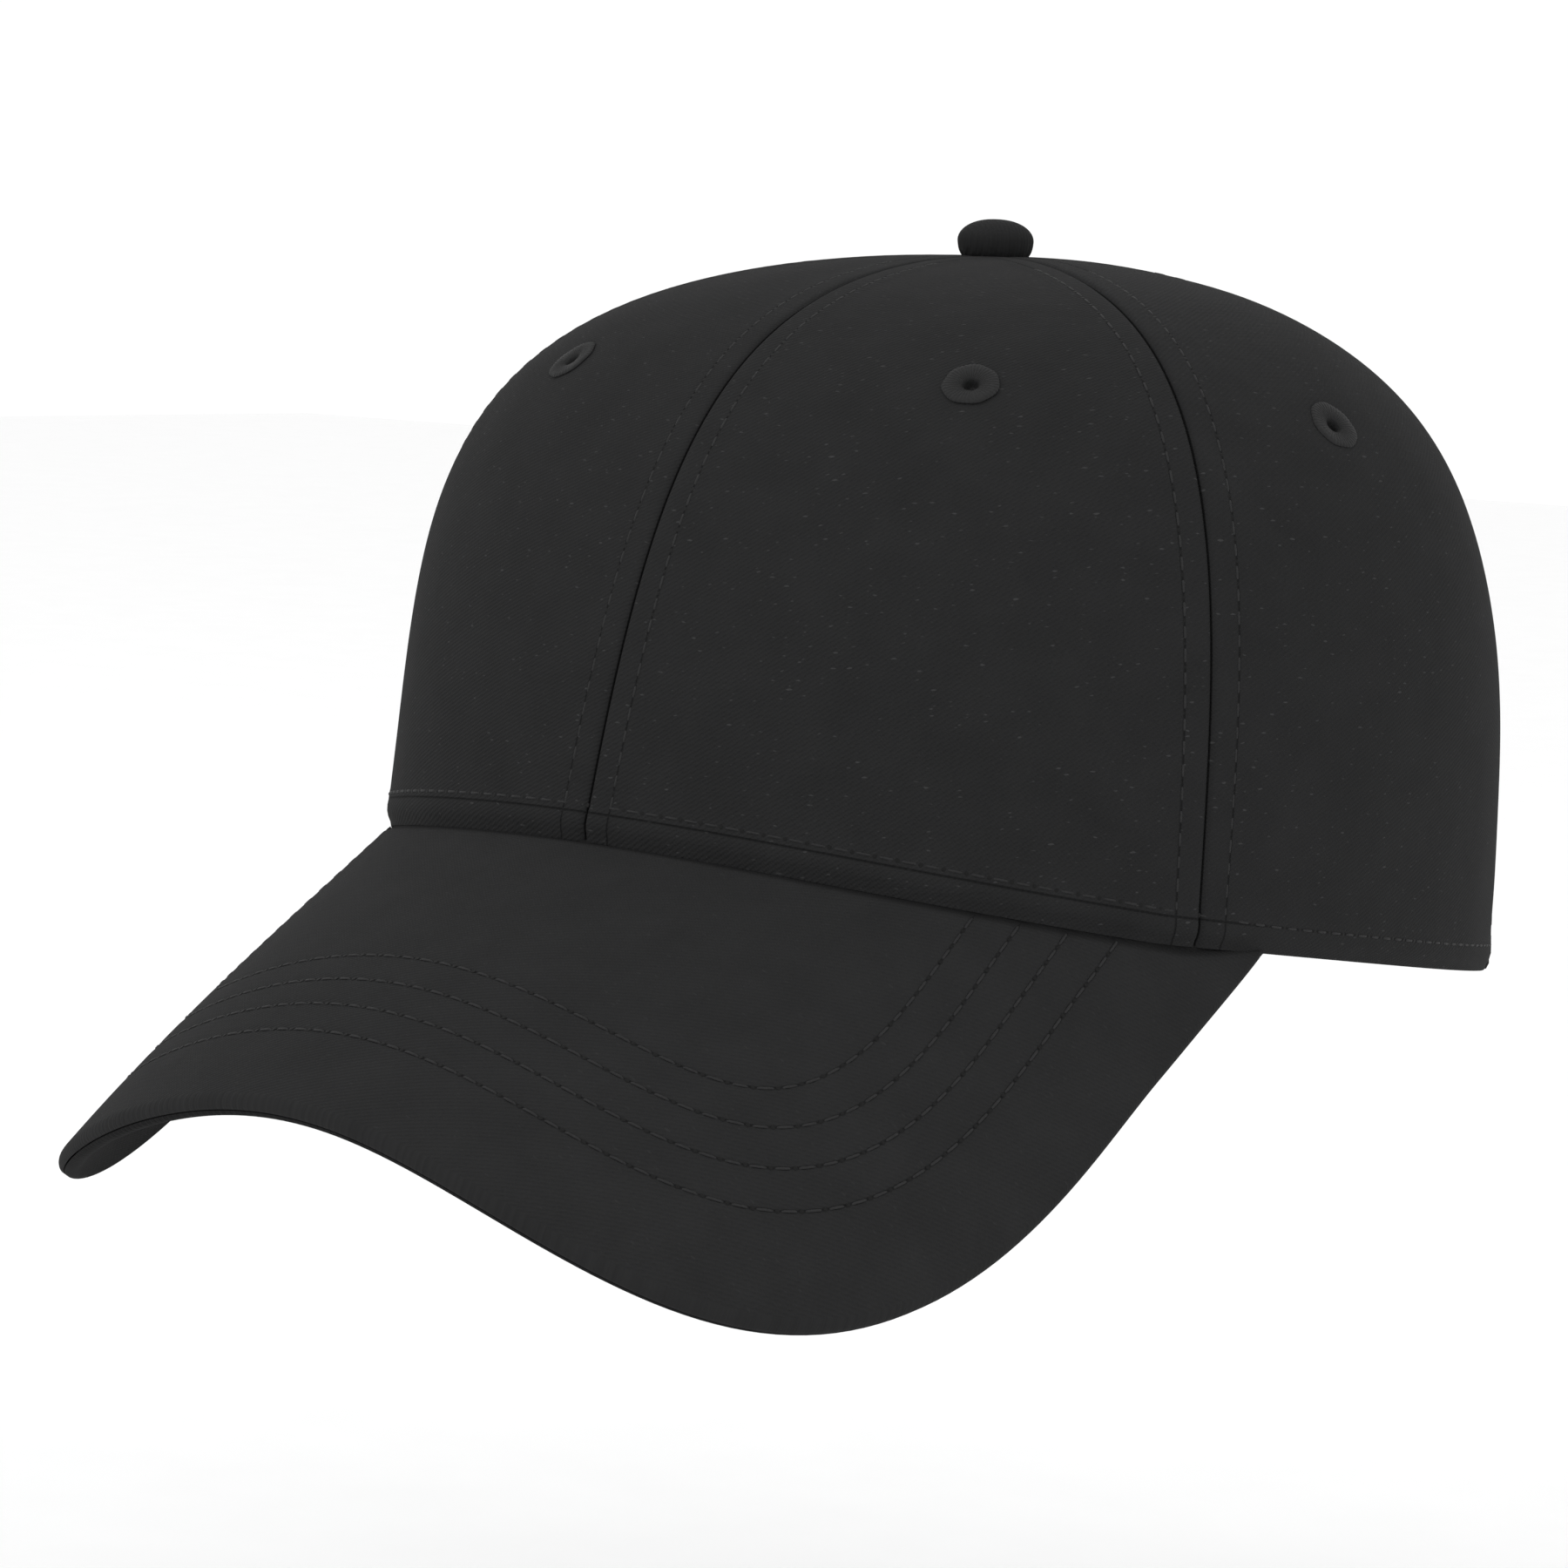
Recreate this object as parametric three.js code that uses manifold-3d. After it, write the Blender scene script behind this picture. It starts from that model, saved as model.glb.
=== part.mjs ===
// A structured six-panel baseball cap: high crown, curved brim, covered top button,
// sewn eyelets and a plastic snap closure across a half-moon opening at the back.
// Millimetres. +Z is up, -Y is the wearer's front and +X is the wearer's left.
// The origin is the centre of the head opening; the rim lies in a plane through it
// that drops towards the back, as a cap does when it is worn.
import * as THREE from 'three';
import { mergeVertices } from 'three/addons/utils/BufferGeometryUtils.js';
import Module from 'manifold-3d';

const manifold = await Module();
manifold.setup();

const radians = THREE.MathUtils.degToRad;
const lerp = THREE.MathUtils.lerp;

// ---------------------------------------------------------------- driving dimensions
const GAP = 0.3; // clearance between touching pieces

// Crown, outside of the cloth. Azimuth 0 is the front, 90 the wearer's left, 180 the back.
const HALF_WIDTH = 89;
const HALF_LENGTH = 100;
const CENTRE_Y = -1.3;
const APEX_Y = 3.8;
const CROWN_HEIGHT = 111;
const RIM_TILT = 0.149; // rim drop per millimetre towards the back
// Each meridian is a cubic curve; these are its handles and its inward lean at the rim.
const TOP_HANDLE = { front: 78.4, side: 106, back: 47 };
const RIM_HANDLE = { front: 63, side: 54, back: 73.5 };
const RIM_LEAN = { front: 13.3, side: -8.4, back: 17.1 };
const TOP_SLOPE = 0.022; // fall of the handles at the button towards the front
const RIM_FLARE = { front: 3.3, back: 0.9 }; // how far the rim's four corners stand out from its oval

// Seams and openings
const FRONT_SIDE_SEAM = 62.4;
const SIDE_BACK_SEAM = 126;
const PANEL_TOP = 0.017; // how far down the meridian a panel starts, under the button
const ARCH_HALF_ANGLE = 31.9;
const ARCH_HEIGHT = 56;

// Depths below the outer surface of the crown
const PANEL = [0, 0.9];
const BUCKRAM = [1.2, 1.8];
const BINDING = [1.2, 1.7];
const TAPE = [2.4, 2.9];
const TAB = [2.0, 3.0];
const FOAM = [3.3, 4.3];
const FACING = [4.6, 5.2];
const LABEL = [3.3, 3.7];
const HOLE_STRAP = [1.4, 2.6];
const PEG_STRAP = [2.9, 4.1];

const TAPE_HALF_WIDTH = 7;
const TAPE_START = 16; // distance from the button at which the seam tapes begin
const BAND_HEIGHT = 30;
const BINDING_WIDTH = 8;

// Brim: a sheet bent over a former, then pitched down from the front of the rim
const BRIM_END = 71.8; // azimuth at which the brim leaves the crown
const BRIM_RISE = 4.8; // how far the rim rises over the brim at the front centre
const BRIM_RISE_POWER = 1.28;
const BRIM_PITCH = 23.4;
const BRIM_ORIGIN = [-101.3, 21.2]; // y and z
const BRIM_RADIUS = 103.5;
const BRIM_FLARE = -0.231; // change of radius per millimetre forwards
const BRIM_MAX_SLOPE = 60.7;
const BRIM_DROOP = 0.00118; // extra fall along the middle, per square millimetre
const BRIM_CENTRE = -31.8;
const BRIM_OUTLINE = [111.3, 2.1, 2.8, -0.5, -9.8]; // cosine terms of the flat outline
const BRIM_OUTLINE_END = 102;
const BRIM_TAPER = { from: 84, rate: 0.0095 }; // beyond this angle the outline draws in to the seam
const BRIM_TUCK = 1.1; // depth in the crown wall to which the brim reaches
const BRIM_DROP = { centre: 0.4, end: 0.9 }; // from the rim down to the brim's inner edge
const BRIM_THICKNESS = 3.8;
const COVER = 0.6;
const BOARD = [1, 2.3];

// Button and eyelets
const BUTTON_RADIUS = 6.5;
const BUTTON_HEIGHT = 6.2;
const EYELETS = [['front', 37.8], ['side', 81.4], ['back', 148]];
const EYELET_DOWN = 0.41; // how far down the meridian
const EYELET_HOLE = 2.95;

// Snap closure
const STRAP_LOW = 3;
const STRAP_HIGH = 23;
const STRAP_ROOT = 26.5; // angle from the back centre at which a strap starts
const STRAP_OVERLAP = 12.8; // angle by which it passes the back centre
const TAB_ANGLES = [27.4, 41];
const SNAP_PITCH = 5;
const SNAP_FIRST = -10;
const SNAP_COUNT = 7;
const PEG_RADIUS = 1.9;
const PEG_TOP = 1.2; // depth of the peg's head below the crown surface
const HOLE_RADIUS = 3;

// ---------------------------------------------------------------- crown surface
// A value given at the front, side and back, blended smoothly round the crown.
function around({ front, side, back }, azimuth) {
  const c = Math.cos(radians(azimuth));
  return side + ((front - back) / 2) * c + ((front + back) / 2 - side) * c * c;
}

function meridian(azimuth) {
  const apex = new THREE.Vector3(0, APEX_Y, CROWN_HEIGHT);
  const x = HALF_WIDTH * Math.sin(radians(azimuth));
  const y = CENTRE_Y - HALF_LENGTH * Math.cos(radians(azimuth));
  const rim = new THREE.Vector3(x, y, -RIM_TILT * y);
  const out = new THREE.Vector3(x, y - APEX_Y, 0).normalize();
  const lean = radians(around(RIM_LEAN, azimuth));
  const top = apex.clone().addScaledVector(out, around(TOP_HANDLE, azimuth));
  top.z += TOP_SLOPE * around(TOP_HANDLE, azimuth) * out.y;
  const low = rim.clone().addScaledVector(out, -around(RIM_HANDLE, azimuth) * Math.sin(lean));
  low.z += around(RIM_HANDLE, azimuth) * Math.cos(lean);
  const flare = Math.cos(radians(azimuth)) > 0 ? RIM_FLARE.front : RIM_FLARE.back;
  rim.addScaledVector(out, flare * Math.sin(radians(2 * azimuth)) ** 2);
  return new THREE.CubicBezierCurve3(apex, top, low, rim);
}

function crownNormal(azimuth, t) {
  const step = 0.01;
  const t1 = Math.max(t, 0.02);
  const down = meridian(azimuth).getPoint(t1 + step).sub(meridian(azimuth).getPoint(t1 - step));
  const across = meridian(azimuth + 0.5).getPoint(t1).sub(meridian(azimuth - 0.5).getPoint(t1));
  return down.cross(across).normalize();
}

// A point of the crown wall, a given depth in from the outer surface.
function crownPoint(azimuth, t, depth = 0) {
  const point = meridian(azimuth).getPoint(t);
  return point.addScaledVector(crownNormal(azimuth, t), -depth);
}

// How far down the meridian the outer surface has the given height.
function downTo(azimuth, z) {
  const curve = meridian(azimuth);
  let above = 0;
  let below = 1;
  for (let i = 0; i < 24; i += 1) {
    const middle = (above + below) / 2;
    if (curve.getPoint(middle).z > z) {
      above = middle;
    } else {
      below = middle;
    }
  }
  return below;
}

// The wall at a height above the rim, followed at that height's azimuth.
function wallPoint(azimuth, height, depth) {
  return crownPoint(azimuth, downTo(azimuth, rimHeight(azimuth) + height), depth);
}

function rimHeight(azimuth) {
  const y = CENTRE_Y - HALF_LENGTH * Math.cos(radians(azimuth));
  const turn = Math.abs(THREE.MathUtils.euclideanModulo(azimuth + 180, 360) - 180) / BRIM_END;
  const rise = turn < 1 ? BRIM_RISE * Math.cos((turn * Math.PI) / 2) ** BRIM_RISE_POWER : 0;
  return rise - RIM_TILT * y;
}

function radiusAt(azimuth, t) {
  const point = meridian(azimuth).getPoint(t);
  return Math.hypot(point.x, point.y - APEX_Y);
}

// ---------------------------------------------------------------- solids
function closedGeometry(vertices, triangles) {
  const positions = new Float32Array(vertices.flatMap((v) => [v.x, v.y, v.z]));
  let volume = 0;
  for (const [a, b, c] of triangles) {
    volume += vertices[a].dot(vertices[b].clone().cross(vertices[c]));
  }
  const facing = volume > 0 ? triangles : triangles.map(([a, b, c]) => [a, c, b]);
  const geometry = new THREE.BufferGeometry();
  geometry.setAttribute('position', new THREE.BufferAttribute(positions, 3));
  geometry.setIndex(facing.flat());
  return geometry;
}

// A closed slab between two skins of a grid. point(i, j, depth) gives the grid's points.
function slab(columns, rows, depths, point) {
  const vertices = [];
  const triangles = [];
  const index = (i, j, side) => (side * (columns + 1) + i) * (rows + 1) + j;
  for (const depth of depths) {
    for (let i = 0; i <= columns; i += 1) {
      for (let j = 0; j <= rows; j += 1) {
        vertices.push(point(i, j, depth));
      }
    }
  }
  const quad = (a, b, c, d) => triangles.push([a, b, c], [a, c, d]);
  for (let i = 0; i < columns; i += 1) {
    for (let j = 0; j < rows; j += 1) {
      quad(index(i, j, 0), index(i + 1, j, 0), index(i + 1, j + 1, 0), index(i, j + 1, 0));
      quad(index(i, j, 1), index(i, j + 1, 1), index(i + 1, j + 1, 1), index(i + 1, j, 1));
    }
  }
  for (let i = 0; i < columns; i += 1) {
    quad(index(i, 0, 1), index(i + 1, 0, 1), index(i + 1, 0, 0), index(i, 0, 0));
    quad(index(i, rows, 0), index(i + 1, rows, 0), index(i + 1, rows, 1), index(i, rows, 1));
  }
  for (let j = 0; j < rows; j += 1) {
    quad(index(0, j, 0), index(0, j + 1, 0), index(0, j + 1, 1), index(0, j, 1));
    quad(index(columns, j, 1), index(columns, j + 1, 1), index(columns, j + 1, 0), index(columns, j, 0));
  }
  return closedGeometry(vertices, triangles);
}

function toSolid(geometry) {
  const plain = geometry.clone();
  plain.deleteAttribute('normal');
  plain.deleteAttribute('uv');
  const merged = mergeVertices(plain, 1e-4);
  const vertProperties = new Float32Array(merged.attributes.position.array);
  const triVerts = new Uint32Array(merged.index.array);
  return new manifold.Manifold(new manifold.Mesh({ numProp: 3, vertProperties, triVerts }));
}

function fromSolid(solid) {
  const mesh = solid.getMesh();
  const geometry = new THREE.BufferGeometry();
  geometry.setAttribute('position', new THREE.BufferAttribute(new Float32Array(mesh.vertProperties), 3));
  geometry.setIndex(new THREE.BufferAttribute(new Uint32Array(mesh.triVerts), 1));
  return geometry;
}

// A round bar through the wall, from one depth to another.
function wallBar(azimuth, t, radius, from, to, sides = 12) {
  const bar = new THREE.CylinderGeometry(radius, radius, to - from, sides);
  return placeOnWall(bar.translate(0, -(from + to) / 2, 0), azimuth, t);
}

// Turns a shape whose +Y is outwards onto the crown surface.
function placeOnWall(geometry, azimuth, t) {
  const turn = new THREE.Quaternion();
  turn.setFromUnitVectors(new THREE.Vector3(0, 1, 0), crownNormal(azimuth, t));
  return geometry.applyQuaternion(turn).translate(...crownPoint(azimuth, t).toArray());
}

// ---------------------------------------------------------------- crown pieces
const ROWS = 12;
const evenly = (from, to, count) => Array.from({ length: count + 1 }, (_, i) => lerp(from, to, i / count));

// Azimuths of a back panel: even to the arch, then closer where the arch stands steep.
function backStations() {
  const edge = 180 - ARCH_HALF_ANGLE;
  const arch = evenly(0, 90, 6).map((turn) => 180 - ARCH_HALF_ANGLE * Math.cos(radians(turn)));
  return [...evenly(SIDE_BACK_SEAM, edge, 3), ...arch.slice(1)];
}

function lowerEdge(azimuth) {
  const across = (180 - Math.abs(azimuth)) / ARCH_HALF_ANGLE;
  return across < 1 ? ARCH_HEIGHT * Math.sqrt(1 - across * across) : GAP;
}

// A crown layer between the first and last of its azimuths, half a gap in from each seam.
// Layers share their rows, so a layer that starts lower leaves out the upper ones.
function crownLayer(stations, depths, side, rowsLeftOut = 0) {
  const first = stations[0];
  const span = stations[stations.length - 1] - first;
  return slab(stations.length - 1, ROWS - rowsLeftOut, depths, (i, j, depth) => {
    const bottom = downTo(stations[i], rimHeight(stations[i]) + lowerEdge(stations[i]));
    const t = lerp(PANEL_TOP, bottom, (j + rowsLeftOut) / ROWS);
    const inset = THREE.MathUtils.radToDeg(GAP / 2 / radiusAt(stations[i], t));
    const place = (stations[i] - first) / span;
    return crownPoint(side * (stations[i] + lerp(inset, -inset, place)), t, depth);
  });
}

const PANEL_STATIONS = {
  front: evenly(0, FRONT_SIDE_SEAM, 8),
  side: evenly(FRONT_SIDE_SEAM, SIDE_BACK_SEAM, 8),
  back: backStations(),
};

function eyeletCut(geometry, azimuth) {
  const hole = toSolid(wallBar(azimuth, EYELET_DOWN, EYELET_HOLE, -3, 5));
  return fromSolid(toSolid(geometry).subtract(hole));
}

// A sewn eyelet: a spool whose two flanges hold the cloth round the hole.
function eyelet(azimuth) {
  const profile = [
    [1.2, -2.8], [4.2, -2.8], [4.2, -2.4], [2.6, -2.4], [2.6, 0.3],
    [4.8, 0.3], [4.8, 0.7], [1.2, 0.7], [1.2, -2.8],
  ];
  const spool = new THREE.LatheGeometry(profile.map(([r, y]) => new THREE.Vector2(r, y)), 12);
  return placeOnWall(spool, azimuth, EYELET_DOWN);
}

function seamTape(azimuth) {
  const start = TAPE_START / radiusAt(azimuth, 0.1) / 10;
  const end = downTo(azimuth, rimHeight(azimuth) + lowerEdge(azimuth) + GAP);
  return slab(2, ROWS, TAPE, (i, j, depth) => {
    const t = lerp(start, end, j / ROWS);
    const reach = THREE.MathUtils.radToDeg(TAPE_HALF_WIDTH / radiusAt(azimuth, t));
    return crownPoint(azimuth + (i - 1) * reach, t, depth);
  });
}

function sweatband(depths) {
  const reach = 180 - ARCH_HALF_ANGLE - 1.5;
  return slab(40, 2, depths, (i, j, depth) => {
    const azimuth = lerp(-reach, reach, i / 40);
    return wallPoint(azimuth, lerp(BAND_HEIGHT, GAP, j / 2), depth);
  });
}

// A strip inside the edge of the back opening.
function archBinding() {
  const widthAngle = ARCH_HALF_ANGLE / (HALF_WIDTH * Math.sin(radians(ARCH_HALF_ANGLE)));
  return slab(20, 2, BINDING, (i, j, depth) => {
    const turn = radians(lerp(0, 180, i / 20));
    const out = lerp(0.5, BINDING_WIDTH, j / 2);
    const azimuth = 180 - (ARCH_HALF_ANGLE + out * widthAngle) * Math.cos(turn);
    return wallPoint(azimuth, Math.max((ARCH_HEIGHT + out) * Math.sin(turn), GAP), depth);
  });
}

function wovenLabel() {
  return slab(2, 2, LABEL, (i, j, depth) => {
    return wallPoint(180 + (i - 1) * 8, lerp(ARCH_HEIGHT + 26, ARCH_HEIGHT + 12, j / 2), depth);
  });
}

// ---------------------------------------------------------------- brim
const pitch = radians(BRIM_PITCH);
const brimForward = new THREE.Vector3(0, -Math.cos(pitch), -Math.sin(pitch));
const brimUp = new THREE.Vector3(0, -Math.sin(pitch), Math.cos(pitch));
const brimOrigin = new THREE.Vector3(0, ...BRIM_ORIGIN);
const maxSlope = radians(BRIM_MAX_SLOPE);

// Across the brim: an arc up to the greatest slope, then straight. u is measured on the sheet.
function brimSurface(u, s) {
  const radius = BRIM_RADIUS + BRIM_FLARE * s;
  const bent = Math.min(Math.abs(u), radius * maxSlope);
  const straight = Math.abs(u) - bent;
  const x = radius * Math.sin(bent / radius) + straight * Math.cos(maxSlope);
  const fall = radius * (1 - Math.cos(bent / radius)) + straight * Math.sin(maxSlope);
  return brimOrigin.clone()
    .addScaledVector(brimForward, s)
    .addScaledVector(brimUp, -fall - BRIM_DROOP * s * s)
    .add(new THREE.Vector3(Math.sign(u) * x, 0, 0));
}

// Where the brim meets the crown: its place on the sheet, and how far the seam lifts it.
function brimSeam(azimuth) {
  const seam = wallPoint(azimuth, 0, BRIM_TUCK);
  seam.z -= lerp(BRIM_DROP.centre, BRIM_DROP.end, Math.abs(azimuth) / BRIM_END);
  const from = seam.clone().sub(brimOrigin);
  const s = from.dot(brimForward);
  const radius = BRIM_RADIUS + BRIM_FLARE * s;
  const u = radius * Math.asin(from.x / radius);
  return { u, s, lift: from.dot(brimUp) - brimSurface(u, s).sub(brimOrigin).dot(brimUp) };
}

function brimOutline(turn) {
  const past = Math.max(0, THREE.MathUtils.radToDeg(Math.abs(turn)) - BRIM_TAPER.from);
  const whole = BRIM_OUTLINE.reduce((sum, term, k) => sum + term * Math.cos(k * turn), 0);
  const reach = whole - BRIM_TAPER.rate * past ** 2;
  return { u: reach * Math.sin(turn), s: BRIM_CENTRE + reach * Math.cos(turn) };
}

// across runs from -1 to 1 round the brim, out from 0 at the seam to 1 at the edge.
function brimPoint(across, out) {
  const seam = brimSeam(across * BRIM_END);
  const edge = brimOutline(radians(across * BRIM_OUTLINE_END));
  const point = brimSurface(lerp(seam.u, edge.u, out), lerp(seam.s, edge.s, out));
  return point.addScaledVector(brimUp, seam.lift * (1 - out) ** 2);
}

function brimFrame(across, out) {
  const step = 0.005;
  const side = brimPoint(across + step, out).sub(brimPoint(across - step, out)).normalize();
  const outward = brimPoint(across, out + step).sub(brimPoint(across, out - step)).normalize();
  const normal = side.cross(outward).normalize();
  return { point: brimPoint(across, out), outward, normal: normal.z < 0 ? normal.negate() : normal };
}

// The share of the way out at which the rolled edge begins.
function brimRoll(across) {
  const width = brimPoint(across, 1).distanceTo(brimPoint(across, 0));
  return 1 - Math.min(BRIM_THICKNESS / 2 / width, 0.5);
}

const BRIM_COLUMNS = 26;
const BRIM_ROWS = 5;
const ROLL_STEPS = 2;

function brimBoard() {
  return slab(BRIM_COLUMNS, BRIM_ROWS, BOARD, (i, j, depth) => {
    const across = lerp(-1, 1, i / BRIM_COLUMNS);
    const frame = brimFrame(across, lerp(0, brimRoll(across), j / BRIM_ROWS));
    return frame.point.addScaledVector(frame.normal, -depth);
  });
}

// A cover cloth that turns round the edge of the board as far as the middle of the edge.
function brimCover(face) {
  const half = BRIM_THICKNESS / 2;
  const last = radians(84);
  return slab(BRIM_COLUMNS, BRIM_ROWS + ROLL_STEPS, [0, COVER], (i, j, depth) => {
    const across = lerp(-1, 1, i / BRIM_COLUMNS);
    const roll = brimRoll(across);
    const frame = brimFrame(across, lerp(0, roll, Math.min(j / BRIM_ROWS, 1)));
    const turn = last * Math.max(0, (j - BRIM_ROWS) / ROLL_STEPS);
    const middle = frame.point.addScaledVector(frame.normal, -half);
    return middle
      .addScaledVector(frame.normal, face * (half - depth) * Math.cos(turn))
      .addScaledVector(frame.outward, (half - depth) * Math.sin(turn));
  });
}

// ---------------------------------------------------------------- button
// Lathe profiles are turned round +Y, then stood up on the apex of the crown.
function onApex(profile, sides = 18) {
  const shape = new THREE.LatheGeometry(profile.map(([r, y]) => new THREE.Vector2(r, y)), sides);
  return shape.rotateX(Math.PI / 2).translate(0, APEX_Y, CROWN_HEIGHT);
}

// Half of a flattened ball, from its underside to its crown, inset by a depth.
function buttonOutline(inset, steps) {
  return evenly(-60, 90, steps).map((turn) => {
    const r = (BUTTON_RADIUS - inset) * Math.cos(radians(turn)) ** 0.8;
    const y = BUTTON_HEIGHT * 0.46 * (1 + Math.sin(radians(turn)) * 1.15) - inset * Math.sin(radians(turn));
    return [turn === 90 ? 0 : r, y];
  });
}

function buttonCover() {
  const outer = buttonOutline(0, 6);
  return onApex([...outer, ...buttonOutline(COVER, 5).reverse(), outer[0]]);
}

function buttonShell() {
  const outer = buttonOutline(COVER + GAP, 6);
  const floor = outer[0][1];
  const bore = [[0, 3.6], [1.6, 3.6], [1.6, floor]];
  return onApex([[1.6, floor], ...outer.slice(0, -1), [0, outer[6][1]], ...bore]);
}

const buttonPost = () => onApex([[0, -2.6], [1.2, -2.6], [1.2, 3.2], [0, 3.2]], 12);
const buttonWasher = () => onApex([[1.5, -2.2], [5.5, -2.2], [5.5, -1.4], [1.5, -1.4], [1.5, -2.2]], 20);

// ---------------------------------------------------------------- snap closure
// side is 1 for the strap sewn in on the wearer's left, -1 for the right.
function strapBlank(side, depths) {
  const tip = 8;
  const square = evenly(STRAP_ROOT, tip - STRAP_OVERLAP, 8);
  const round = evenly(15, 90, 5).map((turn) => tip * (1 - Math.sin(radians(turn))) - STRAP_OVERLAP);
  const stations = [...square, ...round.map((angle) => Math.max(angle, 0.15 - STRAP_OVERLAP))];
  const middle = (STRAP_LOW + STRAP_HIGH) / 2;
  return slab(stations.length - 1, 2, depths, (i, j, depth) => {
    const past = Math.max(0, (tip - STRAP_OVERLAP - stations[i]) / tip);
    const half = ((STRAP_HIGH - STRAP_LOW) / 2) * Math.sqrt(1 - past * past);
    return wallPoint(side * (180 - stations[i]), middle + half * (1 - j), depth);
  });
}

function snapPlaces(side) {
  const azimuths = evenly(SNAP_FIRST, SNAP_FIRST + (SNAP_COUNT - 1) * SNAP_PITCH, SNAP_COUNT - 1);
  const middle = (STRAP_LOW + STRAP_HIGH) / 2;
  return azimuths.map((angle) => {
    const azimuth = side * (180 - angle);
    return [azimuth, downTo(azimuth, rimHeight(azimuth) + middle)];
  });
}

function holeStrap() {
  let strap = toSolid(strapBlank(1, HOLE_STRAP));
  for (const [azimuth, t] of snapPlaces(1)) {
    strap = strap.subtract(toSolid(wallBar(azimuth, t, HOLE_RADIUS, -2, 6)));
  }
  return fromSolid(strap);
}

function pegStrap() {
  let strap = toSolid(strapBlank(-1, PEG_STRAP));
  for (const [azimuth, t] of snapPlaces(-1)) {
    strap = strap.add(toSolid(wallBar(azimuth, t, PEG_RADIUS, PEG_TOP, PEG_STRAP[0] + 0.5, 10)));
  }
  return fromSolid(strap);
}

function strapTab(side) {
  return slab(4, 2, TAB, (i, j, depth) => {
    const azimuth = side * (180 - lerp(...TAB_ANGLES, i / 4));
    return wallPoint(azimuth, lerp(STRAP_HIGH, STRAP_LOW, j / 2), depth);
  });
}

// ---------------------------------------------------------------- assembly
const CLOTH = { color: 0x2b2b2c, roughness: 0.92, metalness: 0 };
const THREAD = { color: 0x242425, roughness: 0.8, metalness: 0 };
const STIFFENER = { color: 0xd8d6cf, roughness: 0.95, metalness: 0 };
const LINING = { color: 0x202021, roughness: 0.9, metalness: 0 };
const PLASTIC = { color: 0x1a1a1b, roughness: 0.45, metalness: 0 };
const STEEL = { color: 0x9a9c9e, roughness: 0.35, metalness: 1 };

const cap = new THREE.Group();

function add(name, geometry, look) {
  const mesh = new THREE.Mesh(geometry, new THREE.MeshStandardMaterial(look));
  mesh.name = name;
  cap.add(mesh);
}

for (const [hand, side] of [['left', 1], ['right', -1]]) {
  for (const [place, azimuth] of EYELETS) {
    const panel = crownLayer(PANEL_STATIONS[place], PANEL, side);
    add(`${place}_panel_${hand}`, eyeletCut(panel, side * azimuth), CLOTH);
    add(`${place}_eyelet_${hand}`, eyelet(side * azimuth), THREAD);
  }
  const buckram = crownLayer(PANEL_STATIONS.front, BUCKRAM, side, 1);
  add(`front_buckram_${hand}`, eyeletCut(buckram, side * EYELETS[0][1]), STIFFENER);
  add(`front_seam_tape_${hand}`, seamTape(side * FRONT_SIDE_SEAM), LINING);
  add(`back_seam_tape_${hand}`, seamTape(side * SIDE_BACK_SEAM), LINING);
  add(`strap_tab_${hand}`, strapTab(side), PLASTIC);
}
add('front_centre_seam_tape', seamTape(0), LINING);
add('back_centre_seam_tape', seamTape(180), LINING);
add('arch_binding', archBinding(), LINING);
add('woven_label', wovenLabel(), LINING);
add('sweatband_foam', sweatband(FOAM), STIFFENER);
add('sweatband_facing', sweatband(FACING), LINING);
add('brim_top_cover', brimCover(1), CLOTH);
add('brim_board', brimBoard(), PLASTIC);
add('brim_under_cover', brimCover(-1), CLOTH);
add('button_cover', buttonCover(), CLOTH);
add('button_shell', buttonShell(), STEEL);
add('button_post', buttonPost(), STEEL);
add('button_washer', buttonWasher(), STEEL);
add('snap_strap_holes', holeStrap(), PLASTIC);
add('snap_strap_pegs', pegStrap(), PLASTIC);

export default cap;
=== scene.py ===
"""A structured six-panel baseball cap in charcoal twill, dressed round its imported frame.

Lengths are millimetres until a mesh is made. Angles are radians, except where a comment says
degrees. +Z is up, -Y is the wearer's front and +X is the wearer's left. Crown points are given
by an azimuth, 0 at the front and pi at the back, and a share t of the way from the button to
the rim.
"""

import math

import bpy
import numpy as np
from mathutils import Matrix, Vector


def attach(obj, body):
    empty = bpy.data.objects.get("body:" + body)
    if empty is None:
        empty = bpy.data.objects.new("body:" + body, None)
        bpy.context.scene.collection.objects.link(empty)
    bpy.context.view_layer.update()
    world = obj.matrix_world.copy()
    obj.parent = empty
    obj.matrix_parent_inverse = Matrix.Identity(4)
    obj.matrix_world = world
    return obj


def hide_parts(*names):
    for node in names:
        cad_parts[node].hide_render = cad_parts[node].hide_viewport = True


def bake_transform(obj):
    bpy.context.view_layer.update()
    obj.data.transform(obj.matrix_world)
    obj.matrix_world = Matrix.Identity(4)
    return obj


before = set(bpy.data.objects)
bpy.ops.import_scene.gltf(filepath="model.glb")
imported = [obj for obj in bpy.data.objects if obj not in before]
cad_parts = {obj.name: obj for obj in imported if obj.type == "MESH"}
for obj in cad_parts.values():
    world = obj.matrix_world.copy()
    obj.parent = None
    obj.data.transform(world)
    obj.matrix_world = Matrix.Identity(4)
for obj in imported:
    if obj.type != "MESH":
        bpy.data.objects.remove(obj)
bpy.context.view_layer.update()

MM = 0.001
radians = math.radians

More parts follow.
